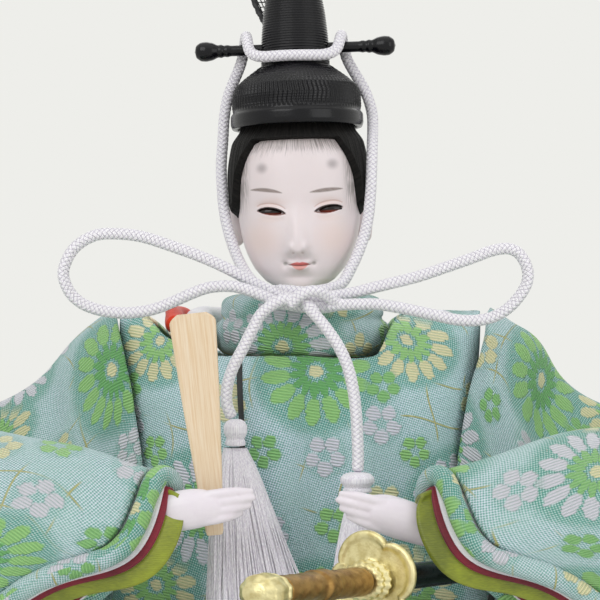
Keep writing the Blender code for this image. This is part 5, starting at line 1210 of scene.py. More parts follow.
def make_face():
    heights = np.linspace(HEAD_SHARES[0][0] * HEAD_HEIGHT, HEAD_HEIGHT, 230)
    turn = np.linspace(0, 1, 301)[:-1]
    # more columns at the front
    warp = turn - 0.62 * np.sin(2 * math.pi * turn) / (2 * math.pi)
    angle = 2 * math.pi * warp
    z, a = np.meshgrid(heights, angle, indexing="ij")
    points = head_surface(z, a)
    x = points[..., 0]
    y = points[..., 1]
    front = (y < 0) * 1.0
    # nose: bridge, tip and wings
    ridge = smooth_step(0.0300, 0.0178, z) * smooth_step(0.0146, 0.0170, z)
    out = 0.0024 * ridge * np.exp(-((x / (0.0021 + 0.0007 * smooth_step(0.026, 0.018, z))) ** 2))
    wings = 0.0009 * (bell(x, 0.0019, 0.0009) + bell(x, -0.0019, 0.0009)) * bell(z, 0.0178, 0.0012)
    nostril = -0.0004 * (bell(x, 0.0011, 0.0005) + bell(x, -0.0011, 0.0005)) * bell(z, 0.0163, 0.0005)
    # lips, their corners and the hollow below
    smile = 0.01335 + 45.0 * (x - 0.0003) ** 2 * (np.abs(x) < 0.006)
    upper = 0.00080 * bell(z, smile + 0.00055, 0.00055) * bell(x, 0.0003, 0.0023) * (1 - 0.25 * bell(x, 0.0003, 0.0005))
    lower = 0.00085 * bell(z, smile - 0.00070, 0.00065) * bell(x, 0.0003, 0.0019)
    slit = -0.00055 * bell(z, smile, 0.00026) * bell(x, 0.0003, 0.0028)
    corner = -0.0006 * (bell(x, 0.0037, 0.0008) + bell(x, -0.0033, 0.0008)) * bell(z, 0.0139, 0.0009)
    groove = -0.00028 * bell(x, 0.0002, 0.0006) * bell(z, 0.0152, 0.0007)
    under = -0.0007 * bell(z, 0.0106, 0.0010) * bell(x, 0.0, 0.0032)
    chin = 0.0005 * bell(z, 0.0072, 0.0016) * bell(x, 0.0, 0.0036)
    # sockets: shallow round the eyes, with a lid fold
    socket = -0.0006 * (bell(x, 0.0070, 0.0042) + bell(x, -0.0070, 0.0042)) * bell(z, 0.0278, 0.0022)
    lids = 0.0
    for eye in EYES:
        high, low = lid_lines(x, eye)
        off = np.abs(x - eye[0])
        inside = smooth_step(0.00010, -0.00008, z - high) * smooth_step(0.00010, -0.00008, low - z) * smooth_step(1.0, 0.93, off / eye[1])
        lids = lids - 0.0021 * inside
        lids = lids + 0.00022 * bell(z, high + 0.00035, 0.00035) * smooth_step(0.0041, 0.0030, off)
        lids = lids - 0.00018 * bell(z, high + 0.00120, 0.00022) * smooth_step(0.0040, 0.0026, off)
        lids = lids + 0.00015 * bell(z, low - 0.0005, 0.0004) * smooth_step(0.0038, 0.0026, off)
    total = (out + wings + nostril + upper + lower + slit + corner + groove + under + chin + socket + lids) * front
    points[..., 1] = y - total
    shapes = points
    return shapes, heights


points, _ = make_face()


def skin_material():
    """White shell paint with painted hair strokes, soft marks, brows, lids, lips and shading, in the head's own places."""
    made, g, shader = material("shell_skin", 0.42, Coat_Weight=0.12, Coat_Roughness=0.35)
    shader.inputs["Subsurface Weight"].default_value = 0.04
    shader.inputs["Subsurface Radius"].default_value = (0.002, 0.001, 0.0007)
    at = g.vec("MULTIPLY", g.place(), (1000.0, 1000.0, 1000.0))
    x, y, z = g.split(at)
    soft = g.noise(at, 0.10, 3.0)
    colour = g.mix(soft, lin("e2d6d7"), lin("e9dfe1"))
    front = g.step(y, -2.0, -7.0)
    side_x = g.math("ABSOLUTE", x)

    def near(cx, cz, rx, rz):
        dx = g.math("DIVIDE", g.math("SUBTRACT", x, cx), rx)
        dz = g.math("DIVIDE", g.math("SUBTRACT", z, cz), rz)
        return g.math("SQRT", g.math("ADD", g.math("MULTIPLY", dx, dx), g.math("MULTIPLY", dz, dz)))

    def paint(base, mask, painted_light_scale, strength):
        mask = g.math("MULTIPLY", g.math("MULTIPLY", mask, front), strength)
        return g.mix(mask, base, painted_light_scale)

    # blush round the cheeks and eyes
    for cx in (-9.0, 9.0):
        colour = paint(colour, g.step(near(cx, 20.0, 6.0, 6.0), 1.2, 0.1), lin("e8cfc6"), 0.5)
    for cx in (-6.5, 7.6):
        colour = paint(colour, g.step(near(cx, 28.6, 4.8, 1.9), 1.1, 0.2), lin("dcbfb4"), 0.38)
        colour = paint(colour, g.step(near(cx, 24.9, 4.2, 1.2), 1.1, 0.3), lin("e0c8be"), 0.28)
    # the court's high painted marks
    for cx, cz in ((-8.3, 37.3), (8.9, 37.9)):
        colour = paint(colour, g.step(near(cx, cz, 1.6, 1.45), 1.30, 0.10), lin("9d9496"), 0.72)
    # brows: straight and soft, thickest in the middle
    for ax, az, bx, bz, bow in ((-11.6, 32.2, -3.2, 31.0, 0.34), (3.0, 31.0, 11.5, 31.9, 0.14)):
        u = g.math("MULTIPLY", g.math("SUBTRACT", x, (ax + bx) / 2), 2 / (bx - ax))
        spare = g.math("MAXIMUM", g.math("SUBTRACT", 1.0, g.math("MULTIPLY", u, u)), 0.0)
        line = g.math("ADD", g.math("ADD", (az + bz) / 2, g.math("MULTIPLY", u, (bz - az) / 2)), g.math("MULTIPLY", spare, bow))
        off = g.math("ABSOLUTE", g.math("SUBTRACT", z, line))
        width = g.math("MULTIPLY", g.math("POWER", spare, 0.8), 0.50)
        stroke = g.noise(g.join(g.math("ADD", g.math("MULTIPLY", x, 4.0), g.math("MULTIPLY", z, 5.0)), 0.0, 1.0), 1.0, 2.0)
        mask = g.math("MULTIPLY", g.step(g.math("SUBTRACT", off, width), 0.14, -0.22), g.step(g.math("ABSOLUTE", u), 1.0, 0.9))
        mask = g.math("MULTIPLY", mask, g.math("ADD", 0.55, g.math("MULTIPLY", g.step(stroke, 0.3, 0.6), 0.45)))
        colour = paint(colour, mask, lin("69564b"), 0.88)
    # painted hair strokes below the hairline and grey shading along the locks
    fan = g.math("ARCTAN2", x, g.math("SUBTRACT", 62.0, z))
    strands = g.noise(g.join(g.math("MULTIPLY", fan, 190.0), g.math("MULTIPLY", z, 0.22), 0.0), 1.0, 2.0, 0.6)
    lengthwise = g.noise(g.join(g.math("MULTIPLY", fan, 34.0), 0.0, 3.0), 1.0, 2.0)
    tips = g.math("ADD", 41.2, g.math("MULTIPLY", lengthwise, -4.8))
    root = g.step(g.math("SUBTRACT", z, tips), 0.2, 3.6)
    stroke_mask = g.math("MULTIPLY", root, g.step(strands, g.math("SUBTRACT", 0.60, g.math("MULTIPLY", root, 0.22)), 0.70))
    colour = paint(colour, stroke_mask, lin("463f3b"), 0.80)
    colour = paint(colour, g.step(z, 40.6, 44.0), lin("8d857f"), 0.40)
    lock = g.math("MULTIPLY", g.step(side_x, 10.8, 13.4), g.step(z, 24.0, 34.0))
    lock_strands = g.noise(g.join(g.math("MULTIPLY", x, 4.6), g.math("MULTIPLY", z, 0.30), 0.0), 1.0, 3.0)
    colour = paint(colour, g.math("MULTIPLY", lock, g.step(lock_strands, 0.30, 0.62)), lin("6a6561"), 0.80)
    # lids: a dark lash line above, a warm rim below
    for middle, half, near_z, far_z, opens, drops in EYES:
        u = g.math("DIVIDE", g.math("SUBTRACT", x, middle * 1000), half * 1000)
        inside = g.math("MAXIMUM", g.math("SUBTRACT", 1.0, g.math("MULTIPLY", u, u)), 0.0)
        line = g.math("ADD", (near_z + far_z) * 500, g.math("MULTIPLY", u, (far_z - near_z) * 500))
        high = g.math("ADD", line, g.math("MULTIPLY", g.math("POWER", inside, 0.75), opens * 1000))
        low = g.math("SUBTRACT", line, g.math("MULTIPLY", g.math("POWER", inside, 0.9), drops * 1000))
        span = g.step(g.math("ABSOLUTE", u), 1.14, 0.98)
        lash = g.math("MULTIPLY", g.step(g.math("ABSOLUTE", g.math("SUBTRACT", z, g.math("ADD", high, 0.06))), 0.36, 0.12), span)
        crease = g.math("MULTIPLY", g.step(g.math("ABSOLUTE", g.math("SUBTRACT", z, g.math("ADD", high, 1.20))), 0.26, 0.05), span)
        warm = g.math("MULTIPLY", g.step(g.math("ABSOLUTE", g.math("SUBTRACT", z, g.math("SUBTRACT", low, 0.04))), 0.28, 0.08), span)
        colour = paint(colour, crease, lin("c29c90"), 0.55)
        colour = paint(colour, warm, lin("a8604c"), 0.65)
        colour = paint(colour, lash, lin("241916"), 0.92)
    # lips: a small mouth that smiles, redder above
    off_x = g.math("SUBTRACT", x, 0.3)
    off_2 = g.math("MULTIPLY", off_x, off_x)
    smile = g.math("ADD", 13.35, g.math("MULTIPLY", off_2, 0.045))
    above = g.math("SUBTRACT", z, smile)
    room_up = g.math("MAXIMUM", g.math("SUBTRACT", 1.0, g.math("MULTIPLY", off_2, 1 / 2.5**2)), 0.0)
    room_up = g.math("MULTIPLY", room_up, g.math("SUBTRACT", 0.88, g.math("MULTIPLY", g.step(g.math("ABSOLUTE", off_x), 0.7, 0.0), 0.14)))
    room_down = g.math("MULTIPLY", g.math("MAXIMUM", g.math("SUBTRACT", 1.0, g.math("MULTIPLY", off_2, 1 / 2.1**2)), 0.0), 1.12)
    upper = g.math("MULTIPLY", g.step(above, -0.08, 0.04), g.step(g.math("SUBTRACT", above, room_up), 0.12, -0.10))
    upper = g.math("MULTIPLY", upper, g.step(room_up, 0.02, 0.16))
    lower = g.math("MULTIPLY", g.step(above, 0.04, -0.08), g.step(g.math("ADD", above, room_down), -0.14, 0.16))
    lower = g.math("MULTIPLY", lower, g.step(room_down, 0.02, 0.22))
    colour = paint(colour, lower, lin("e8978b"), 0.75)
    colour = paint(colour, upper, lin("d04c45"), 0.85)
    slit = g.math("MULTIPLY", g.step(g.math("ABSOLUTE", above), 0.20, 0.05), g.step(g.math("ABSOLUTE", off_x), 3.2, 2.4))
    colour = paint(colour, slit, lin("643d33"), 0.75)
    # painted shade: greenish-grey dots in the mouth's carved corners
    for cx, cz in ((-3.2, 13.95), (3.7, 13.85)):
        colour = paint(colour, g.step(near(cx, cz, 0.75, 0.6), 1.1, 0.2), lin("6f7064"), 0.6)
    # nostrils: painted shade in their hollows beside the nose's middle
    for cx in (-1.1, 1.1):
        colour = paint(colour, g.step(near(cx, 16.4, 0.50, 0.32), 1.2, 0.2), lin("9d8078"), 0.35)
    g.put(shader.inputs["Base Color"], colour)
    grain = g.noise(at, 2.4, 3.0)
    g.put(shader.inputs["Normal"], g.bump(grain, 0.00004, 0.5))
    g.put(shader.inputs["Roughness"], g.math("ADD", 0.36, g.math("MULTIPLY", soft, 0.12)))
    return made


SKIN = skin_material()
BODY_SHIFT = HEAD_MATRIX


def on_head(piece, body="head"):
    piece.matrix_world = HEAD_MATRIX
    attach(piece, body)
    return piece


head = on_head(grid_object("head_painted", points[:, ::-1], SKIN, closed=True, caps=True))
neck_rows = []
for z, r in ((-0.0075, 0.0064), (-0.0040, 0.0064), (0.0, 0.0064), (0.0040, 0.0064), (0.0080, 0.0064), (0.0130, 0.0062)):
    a = np.arange(64) * 2 * math.pi / 64
    neck_rows.append(np.stack([r * np.sin(a), -r * np.cos(a), np.full(64, z)], axis=1))
neck = on_head(grid_object("neck_painted", np.array(neck_rows)[:, ::-1], SKIN, closed=True, caps=True))
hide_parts("head")


def ear_piece(side, name):
    """An ear with its rolled rim, bowl and lobe."""
    n, m = 40, 48
    u = np.linspace(0, math.pi, n)[:, None]
    v = np.linspace(0, 2 * math.pi, m + 1)[None, :-1]
    px = np.sin(u) * np.cos(v)
    py = np.sin(u) * np.sin(v)
    pz = np.cos(u) * np.ones_like(v)
    # rim runs round the back; bowl sinks at the outer face
    bowl = np.exp(-(((py - 0.05) / 0.42) ** 2 + ((pz + 0.02) / 0.50) ** 2)) * (px > 0)
    rim = np.exp(-(((np.hypot(py - 0.02, pz * 0.86) - 0.80) / 0.16) ** 2)) * (px > 0)
    reach = 1.0 - 0.75 * bowl + 0.20 * rim
    grid = np.stack(
        [
            side * (0.0160 + 0.0026 * px * reach),
            0.0045 + 0.0028 * py * (1.0 - 0.25 * np.clip(-pz, 0, 1)) + 0.0006 * pz,
            0.0245 + 0.0054 * pz,
        ],
        axis=2,
    )
    return on_head(grid_object(name, grid if side > 0 else grid[:, ::-1], SKIN, closed=True))


for ear in (ear_piece(-1, "ear_right"), ear_piece(1, "ear_left")):
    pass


def eye_material():
    """Dark glass: near black under the upper lid, reddish brown towards the lower one."""
    made, g, shader = material("eye_glass", 0.08, Coat_Weight=0.25, Coat_Roughness=0.03)
    shader.inputs["Specular IOR Level"].default_value = 0.3
    at = g.vec("MULTIPLY", g.place(), (1000.0, 1000.0, 1000.0))
    x, y, z = g.split(at)
    side = g.math("GREATER_THAN", x, 0.0)
    middle = g.math("ADD", 26.50, g.math("MULTIPLY", side, 0.35))
    streak = g.noise(at, 3.0, 3.0)
    down = g.step(g.math("SUBTRACT", z, middle), 0.05, -0.50)
    colour = g.mix(down, lin("120907"), lin("7e3322"))
    colour = g.mix(g.math("MULTIPLY", g.step(streak, 0.45, 0.8), 0.3), colour, lin("3b1a10"))
    g.put(shader.inputs["Base Color"], colour)
    g.put(shader.inputs["Roughness"], g.math("ADD", 0.04, g.math("MULTIPLY", streak, 0.05)))
    return made


def front_y(eye):
    """Where an eye's middle lies in depth, so that its glass starts just behind the lids."""
    near = np.hypot(points[..., 0] - eye[0], points[..., 2] - (eye[2] + eye[3]) / 2 - eye[4] - 0.0006) + (points[..., 1] > 0)
    return float(points[..., 1].flat[int(near.argmin())]) + 0.0029 + 0.0006


EYE = eye_material()
for eye, name in zip(EYES, ("eye_right", "eye_left")):
    n, m = 24, 40
    u = np.linspace(0.02, math.pi - 0.02, n)[:, None]
    v = np.linspace(0, 2 * math.pi, m + 1)[None, :-1]
    grid = np.stack(
        [
            eye[0] + 0.0038 * np.sin(u) * np.cos(v),
            front_y(eye) + 0.0029 * np.sin(u) * np.sin(v),
            (eye[2] + eye[3]) / 2 + 0.0001 + 0.0017 * np.cos(u) * np.ones_like(v),
        ],
        axis=2,
    )
    ball = on_head(grid_object(name + "_ball", grid, EYE, closed=True, caps=True))
    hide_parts(name)


# ---- hair ----
def hair_material():
    made, g, shader = material("floss_hair", 0.6)
    shader.inputs["Specular IOR Level"].default_value = 0.18
    at = g.vec("MULTIPLY", g.place(), (1000.0, 1000.0, 1000.0))
    x, y, z = g.split(at)
    angle = g.math("ARCTAN2", x, g.math("MULTIPLY", y, -1.0))
    strands = g.noise(g.join(g.math("MULTIPLY", angle, 60.0), g.math("MULTIPLY", z, 0.16), 0.0), 1.0, 4.0, 0.65)
    tone = g.step(strands, 0.35, 0.75)
    g.put(shader.inputs["Base Color"], g.mix(tone, lin("080808"), lin("1f1d1b")))
    g.put(shader.inputs["Normal"], g.bump(strands, 0.00035, 0.9))
    g.put(shader.inputs["Roughness"], g.math("ADD", 0.50, g.math("MULTIPLY", strands, 0.25)))
    return made


HAIR = hair_material()


def hair_grow(z):
    up = smooth_step(0.0440, 0.0480, z)
    low = smooth_step(0.0235, 0.0295, z)
    full = 0.0020 * low + 0.0008 * (1 - low)
    return full * (1 - up) + 0.0008 * up


LOCK_SHARES = ((0.72, 1.0), (0.93, 0.883), (1.01, 0.803), (1.045, 0.727), (1.07, 0.5))
NAPE_SHARES = ((-2.0, 0.90), (-0.15, 0.98), (0.2, 1.25), (0.55, 1.05), (0.8, 0.80), (2.0, 0.68))


def make_hair():
    """The hair as a shell over the skull, open for the face, ending in combed edges."""
    n_z, n_a = 150, 320
    # lower edge by angle: found on the head's outer surface
    angle = np.arange(n_a) * 2 * math.pi / n_a
    lock_z = np.array([0.0440 * s[1] for s in LOCK_SHARES])
    lock_x = np.array([0.0153 * s[0] for s in LOCK_SHARES])
    low_edge = np.zeros(n_a)
    for i, a in enumerate(angle):
        heights = np.linspace(0.012, 0.050, 200)
        surface = head_surface(heights, np.full(200, a), hair_grow(heights))
        x = np.abs(surface[:, 0])
        y = surface[:, 1]
        nape = np.interp(y, [0.019 * s[0] for s in NAPE_SHARES], [0.0255 * s[1] for s in NAPE_SHARES])
        face = np.where(
            x < lock_x[0], 0.0440, np.interp(x, lock_x, lock_z)
        )
        covered = (heights > nape) & ((y > 0.0005) | (heights > face) | (x > lock_x[-1]))
        # the lowest height above which all is covered
        bare = np.where(~covered)[0]
        low_edge[i] = heights[bare[-1] + 1] if len(bare) and bare[-1] < 199 else heights[0]
    smooth = low_edge.copy()
    for _ in range(2):
        smooth = (np.roll(smooth, 1) + 2 * smooth + np.roll(smooth, -1)) / 4
    share = np.linspace(0, 1, n_z)[:, None]
    heights = smooth[None, :] + (0.0568 - smooth[None, :]) * share
    thick = smooth_step(0.0, 0.05, share)
    surface = head_surface(heights, np.broadcast_to(angle, heights.shape), hair_grow(heights) * (0.25 + 0.75 * thick))
    comb = np.sin(angle * 90 + 3 * np.sin(angle * 7))[None, :] * 0.00006 + np.sin(angle * 37 + 1.0)[None, :] * 0.00008
    away = surface - np.array((0.0, 0.0015, 0.030))
    away[..., 2] *= 0.2
    away /= np.linalg.norm(away, axis=2, keepdims=True)
    surface = surface + away * (comb * thick)[..., None]
    inner = head_surface(heights[0:1], angle[None, :], 0.00005)
    rows = np.concatenate([inner, surface], axis=0)
    return rows[:, ::-1]


hair = on_head(grid_object("hair_combed", make_hair(), HAIR, closed=True, caps=True))
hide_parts("hair")


# ---- cap ----
def lacquer_material(name):
    made, g, shader = material(name, 0.2, Coat_Weight=0.15, Coat_Roughness=0.05)
    shader.inputs["Specular IOR Level"].default_value = 0.22
    at = g.vec("MULTIPLY", g.place(), (1000.0, 1000.0, 1000.0))
    cloud = g.noise(at, 0.35, 3.0)
    g.put(shader.inputs["Base Color"], g.mix(cloud, lin("050508"), lin("0d0d13")))
    fine = g.noise(at, 2.2, 3.0)
    g.put(shader.inputs["Roughness"], g.math("ADD", 0.14, g.math("MULTIPLY", fine, 0.20)))
    g.put(shader.inputs["Normal"], g.bump(fine, 0.00005, 0.6))
    return made


LACQUER = lacquer_material("cap_lacquer")
CAP_Z, CAP_H, CAP_HALF_W, CAP_HALF_D, CAP_Y = 0.0480, 0.0155, 0.0164, 0.0188, 0.0012
CAP_OUTER_SHARES = (
    (0.53, 1.0),
    (0.62, 0.93),
    (0.785, 0.80),
    (0.925, 0.67),
    (0.975, 0.50),
    (0.975, 0.25),
    (1.01, 0.215),
    (1.015, 0.06),
    (0.99, 0.0),
)
outer = fine_profile([(CAP_HALF_W * r, CAP_Z + CAP_H * z) for r, z in CAP_OUTER_SHARES], 84)
inner = [(0.912 * CAP_HALF_W, CAP_Z), (0.905 * CAP_HALF_W, CAP_Z + 0.5 * CAP_H), (0.62 * CAP_HALF_W, CAP_Z + 0.83 * CAP_H), (0.35 * CAP_HALF_W, CAP_Z + 0.88 * CAP_H)]


def cap_ribs(angle, z, r):
    """Fine ribs that run up the crown from its rim, and none on the smooth rim band."""
    share = (z - CAP_Z) / CAP_H
    on = smooth_step(0.26, 0.34, share) * smooth_step(1.02, 0.98, share) * smooth_step(0.004, 0.009, r)
    return (0.00019 * np.cos(angle * 88 + 0.9 * np.sin(share * 22.0)) + 0.00006 * np.cos(share * 150.0)) * on


profile = np.concatenate([outer, np.array(inner)])
bowl = turned_object("cap_bowl_ribbed", profile[::-1], LACQUER, steps=512, relief=cap_ribs)
bowl.matrix_world = HEAD_MATRIX @ Matrix.Translation((0.0, CAP_Y, 0.0)) @ Matrix.Diagonal((1.0, CAP_HALF_D / CAP_HALF_W, 1.0, 1.0))
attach(bowl, "head")
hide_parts("cap_bowl")

TOWER_SHARES = (
    (1.0, 0.0),
    (1.0, 0.12),
    (0.96, 0.35),
    (0.90, 0.58),
    (0.82, 0.76),
    (0.66, 0.90),
    (0.42, 0.97),
    (0.15, 1.0),
)
foot = CAP_Z + CAP_H + 0.0003
table = fine_profile([(w, h) for w, h in TOWER_SHARES], 260)
a = np.arange(96) * 2 * math.pi / 96
rows = []
for w, h in table:
    z = foot + 0.0225 * h
    ring = 0.00010 * math.cos(h * 0.0225 / 0.00066 * 2 * math.pi) * float(smooth_step(0.01, 0.05, h)) * float(smooth_step(0.25, 0.5, w))
    # the rings rise a little towards the front middle
    x = (0.0086 * w + ring) * np.sin(a)
    y = 0.0012 + 0.0025 * h - (0.0072 * w + ring) * np.cos(a)
    rows.append(np.stack([x, y, z + 0.0006 * w * np.cos(a) * min(1.0, h * 4) * (1 - h)], axis=1))
tower = on_head(grid_object("cap_tower_ringed", np.array(rows)[:, ::-1], LACQUER, closed=True, caps=True))
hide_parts("cap_tower")

PIN_SHARES = (
    (0.0, 1.0),
    (0.62, 0.985),
    (0.95, 0.94),
    (1.0, 0.885),
    (0.88, 0.82),
    (0.60, 0.765),
    (0.70, 0.735),
    (0.54, 0.705),
    (0.64, 0.675),
    (0.54, 0.645),
    (0.54, 0.0),
)
half = fine_profile([(0.0025 * r, 0.0252 * z) for r, z in PIN_SHARES], 140)
whole = np.concatenate([half, (half * (1.0, -1.0))[-2::-1]])
pin = turned_object("cap_pin_fine", whole[::-1], LACQUER, steps=40)
pin.matrix_world = HEAD_MATRIX @ Matrix.Translation((0.0, 0.0012, 0.0680)) @ Matrix.Rotation(math.pi / 2, 4, "Y")
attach(pin, "head")
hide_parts("cap_pin")
NODE_LACQUER = lacquer_material("socket_lacquer")

# ---- plain node materials for what stays ----
WIRE_LOOK = mottled("drawn_wire", "6a6c70", "4a4b4f", 300.0, 0.4, metallic=1.0)
WOOD_LOOK = mottled("board_grain", "b08a5a", "8a6238", 60.0, 0.6, stretch=(1, 9, 9))
BAMBOO_LOOK = mottled("bamboo_grain", "c9a86a", "a8864c", 90.0, 0.5, stretch=(9, 9, 0.6))
STRAW_LOOK = mottled("straw_bundle", "c4a562", "8f7336", 300.0, 0.8, bump_scale=1400.0, bump=0.0003, stretch=(9, 9, 0.5))
PAPER_LOOK = mottled("wound_paper", "d2c7ab", "bfb291", 120.0, 0.8)
COTTON_LOOK = mottled("cotton_wad", "e4dccb", "cfc5b0", 160.0, 0.9, bump_scale=500.0, bump=0.0005)



def give(node, look):
    item = NODES[node]
    if item.material_slots:
        for slot in item.material_slots:
            slot.material = look
    else:
        item.data.materials.append(look)


for node, look in (
    ("tail_socket", NODE_LACQUER),
    ("neck_dowel", BAMBOO_LOOK),
    ("neck_sleeve", PAPER_LOOK),
    ("arm_wire", WIRE_LOOK),
    ("base_board", WOOD_LOOK),
    ("straw_body", STRAW_LOOK),
):
    give(node, look)


# ---- tail: an open net between two lacquered cords ----
def tail_side(height):
    share = float(along(((0.0, 0.50), (0.10, 0.80), (0.22, 0.96), (0.5, 1.0), (0.85, 1.0), (0.95, 0.94)), height)[0])
    middle = (0.0057 - 0.0135) / 2 * float(along(((0.0, 0.5), (0.25, 1.0), (1.0, 1.0)), height)[0])
    half = (0.0057 + 0.0135) / 2 * share
    return middle - half, middle + half


TAIL_FOOT_Z = 0.0480 + 0.0155 + 0.0003 + 0.0080 + 0.0020
TAIL_Y = 0.0012 + 0.0072 + 0.0025 / 2 + 0.0003 + 0.0021


def tail_point(u, height, pull=0.0):
    left, right = tail_side(height)
    left += pull
    right -= pull
    return (left + (right - left) * u, TAIL_Y + 0.0060 * height, TAIL_FOOT_Z + 0.0770 * height)


NET_LOOK, net_g, net_shader = material("gauze_lacquer", 0.45)
net_at = net_g.vec("MULTIPLY", net_g.place(), (1000.0, 1000.0, 1000.0))
net_noise = net_g.noise(net_at, 3.0, 3.0)
net_g.put(net_shader.inputs["Base Color"], net_g.mix(net_noise, lin("101012"), lin("2a2a2e")))
net_g.put(net_shader.inputs["Normal"], net_g.bump(net_noise, 0.00015, 0.8))


def net_mesh(name, columns, count_rows, radius, low, high):
    """Crossing threads of a gauze, each a thin bar, slightly uneven."""
    verts = []
    faces = []
    rng = np.random.default_rng(5)

    def bar(points):
        pts = np.asarray(points)
        tangent = np.gradient(pts, axis=0)
        tangent /= np.linalg.norm(tangent, axis=1, keepdims=True)
        side = np.cross(tangent, (0.0, 1.0, 0.0))
        side /= np.linalg.norm(side, axis=1, keepdims=True)
        up = np.cross(side, tangent)
        base = len(verts)
        for k in range(len(pts)):
            thick = radius * (0.8 + 0.4 * rng.random())
            for q in range(4):
                angle = math.pi / 4 + q * math.pi / 2
                verts.append(tuple(pts[k] + thick * (math.cos(angle) * side[k] + math.sin(angle) * up[k])))
        for k in range(len(pts) - 1):
            for q in range(4):
                a0 = base + k * 4 + q
                a1 = base + k * 4 + (q + 1) % 4
                faces.append((a0, a1, a1 + 4, a0 + 4))
        faces.append((base, base + 3, base + 2, base + 1))
        end = base + (len(pts) - 1) * 4
        faces.append((end, end + 1, end + 2, end + 3))

    for i in range(columns + 1):
        u = i / columns
        line = []
        for j in range(count_rows * 2 + 1):
            h = low + (high - low) * j / (count_rows * 2)
            p = np.array(tail_point(u, h, 0.0009))
            p[0] += rng.normal() * 0.00005
            p[1] += 0.00012 * (-1) ** j
            line.append(p)
        bar(line)
    for j in range(count_rows + 1):
        h = low + (high - low) * j / count_rows
        line = []
        for i in range(columns * 2 + 1):
            p = np.array(tail_point(i / (columns * 2), h, 0.0009))
            p[2] += rng.normal() * 0.00005
            p[1] += 0.00012 * (-1) ** (i + 1)
            line.append(p)
        bar(line)
    data = bpy.data.meshes.new(name)
    data.from_pydata(verts, [], faces)
    return add(name, data, NET_LOOK)


net = on_head(net_mesh("tail_gauze", 15, 58, 0.00017, 0.02, 0.955), "tail")
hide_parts("tail_net")

heights = np.linspace(0.0, 0.95, 13)
left_side = [tail_point(0.0, h) for h in heights]
right_side = [tail_point(1.0, h) for h in heights]
outline = smooth_route([*left_side, tail_point(0.5, 1.0), *right_side[::-1]], 0.0004)


def rough_edge(angle, run):
    return 0.00010 * np.sin(run / 0.00035 + angle * 2) + 0.00006 * np.sin(run / 0.00013 + 3 * angle)


rim = on_head(tube_object("tail_rim", outline, 0.00072, NET_LOOK, around=14, relief=rough_edge), "tail")
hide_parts("tail_frame")
foot_parts = []
for name, low_z, high_z, half_w, half_t in (
    ("tail_foot", TAIL_FOOT_Z - 0.0018, TAIL_FOOT_Z + 0.0003, 0.0058, 0.0009),
    ("tail_tenon", TAIL_FOOT_Z - 0.0086, TAIL_FOOT_Z - 0.0012, 0.0032, 0.0009),
):
    centre_x = sum(tail_side(0.0)) / 2 if name == "tail_foot" else 0.0
    a = np.arange(24) * 2 * math.pi / 24
    rows = []
    for z, k in ((low_z, 0.86), (low_z + 0.0002, 1.0), (high_z - 0.0002, 1.0), (high_z, 0.86)):
        x = centre_x + half_w * k * np.sign(np.sin(a)) * np.abs(np.sin(a)) ** 0.4
        y = TAIL_Y - half_t * k * np.sign(np.cos(a)) * np.abs(np.cos(a)) ** 0.4
        rows.append(np.stack([x, y, np.full(24, z)], axis=1))
    foot_parts.append(on_head(grid_object(name + "_piece", np.array(rows)[:, ::-1], LACQUER, closed=True, caps=True), "tail"))


# ---- tassels ----
def thread_material():
    made, g, shader = material("tassel_floss", 0.5, Sheen_Weight=0.3)
    at = g.vec("MULTIPLY", g.place(), (1000.0, 1000.0, 1000.0))
    x, y, z = g.split(at)
    strands = g.noise(g.join(g.math("MULTIPLY", x, 4.5), g.math("MULTIPLY", y, 4.5), g.math("MULTIPLY", z, 0.35)), 1.0, 3.0, 0.6)
    g.put(shader.inputs["Base Color"], g.mix(g.step(strands, 0.3, 0.68), lin("dcd6e2"), lin("fbf9fd")))
    g.put(shader.inputs["Normal"], g.bump(strands, 0.00010, 0.6))
    return made


FLOSS = thread_material()


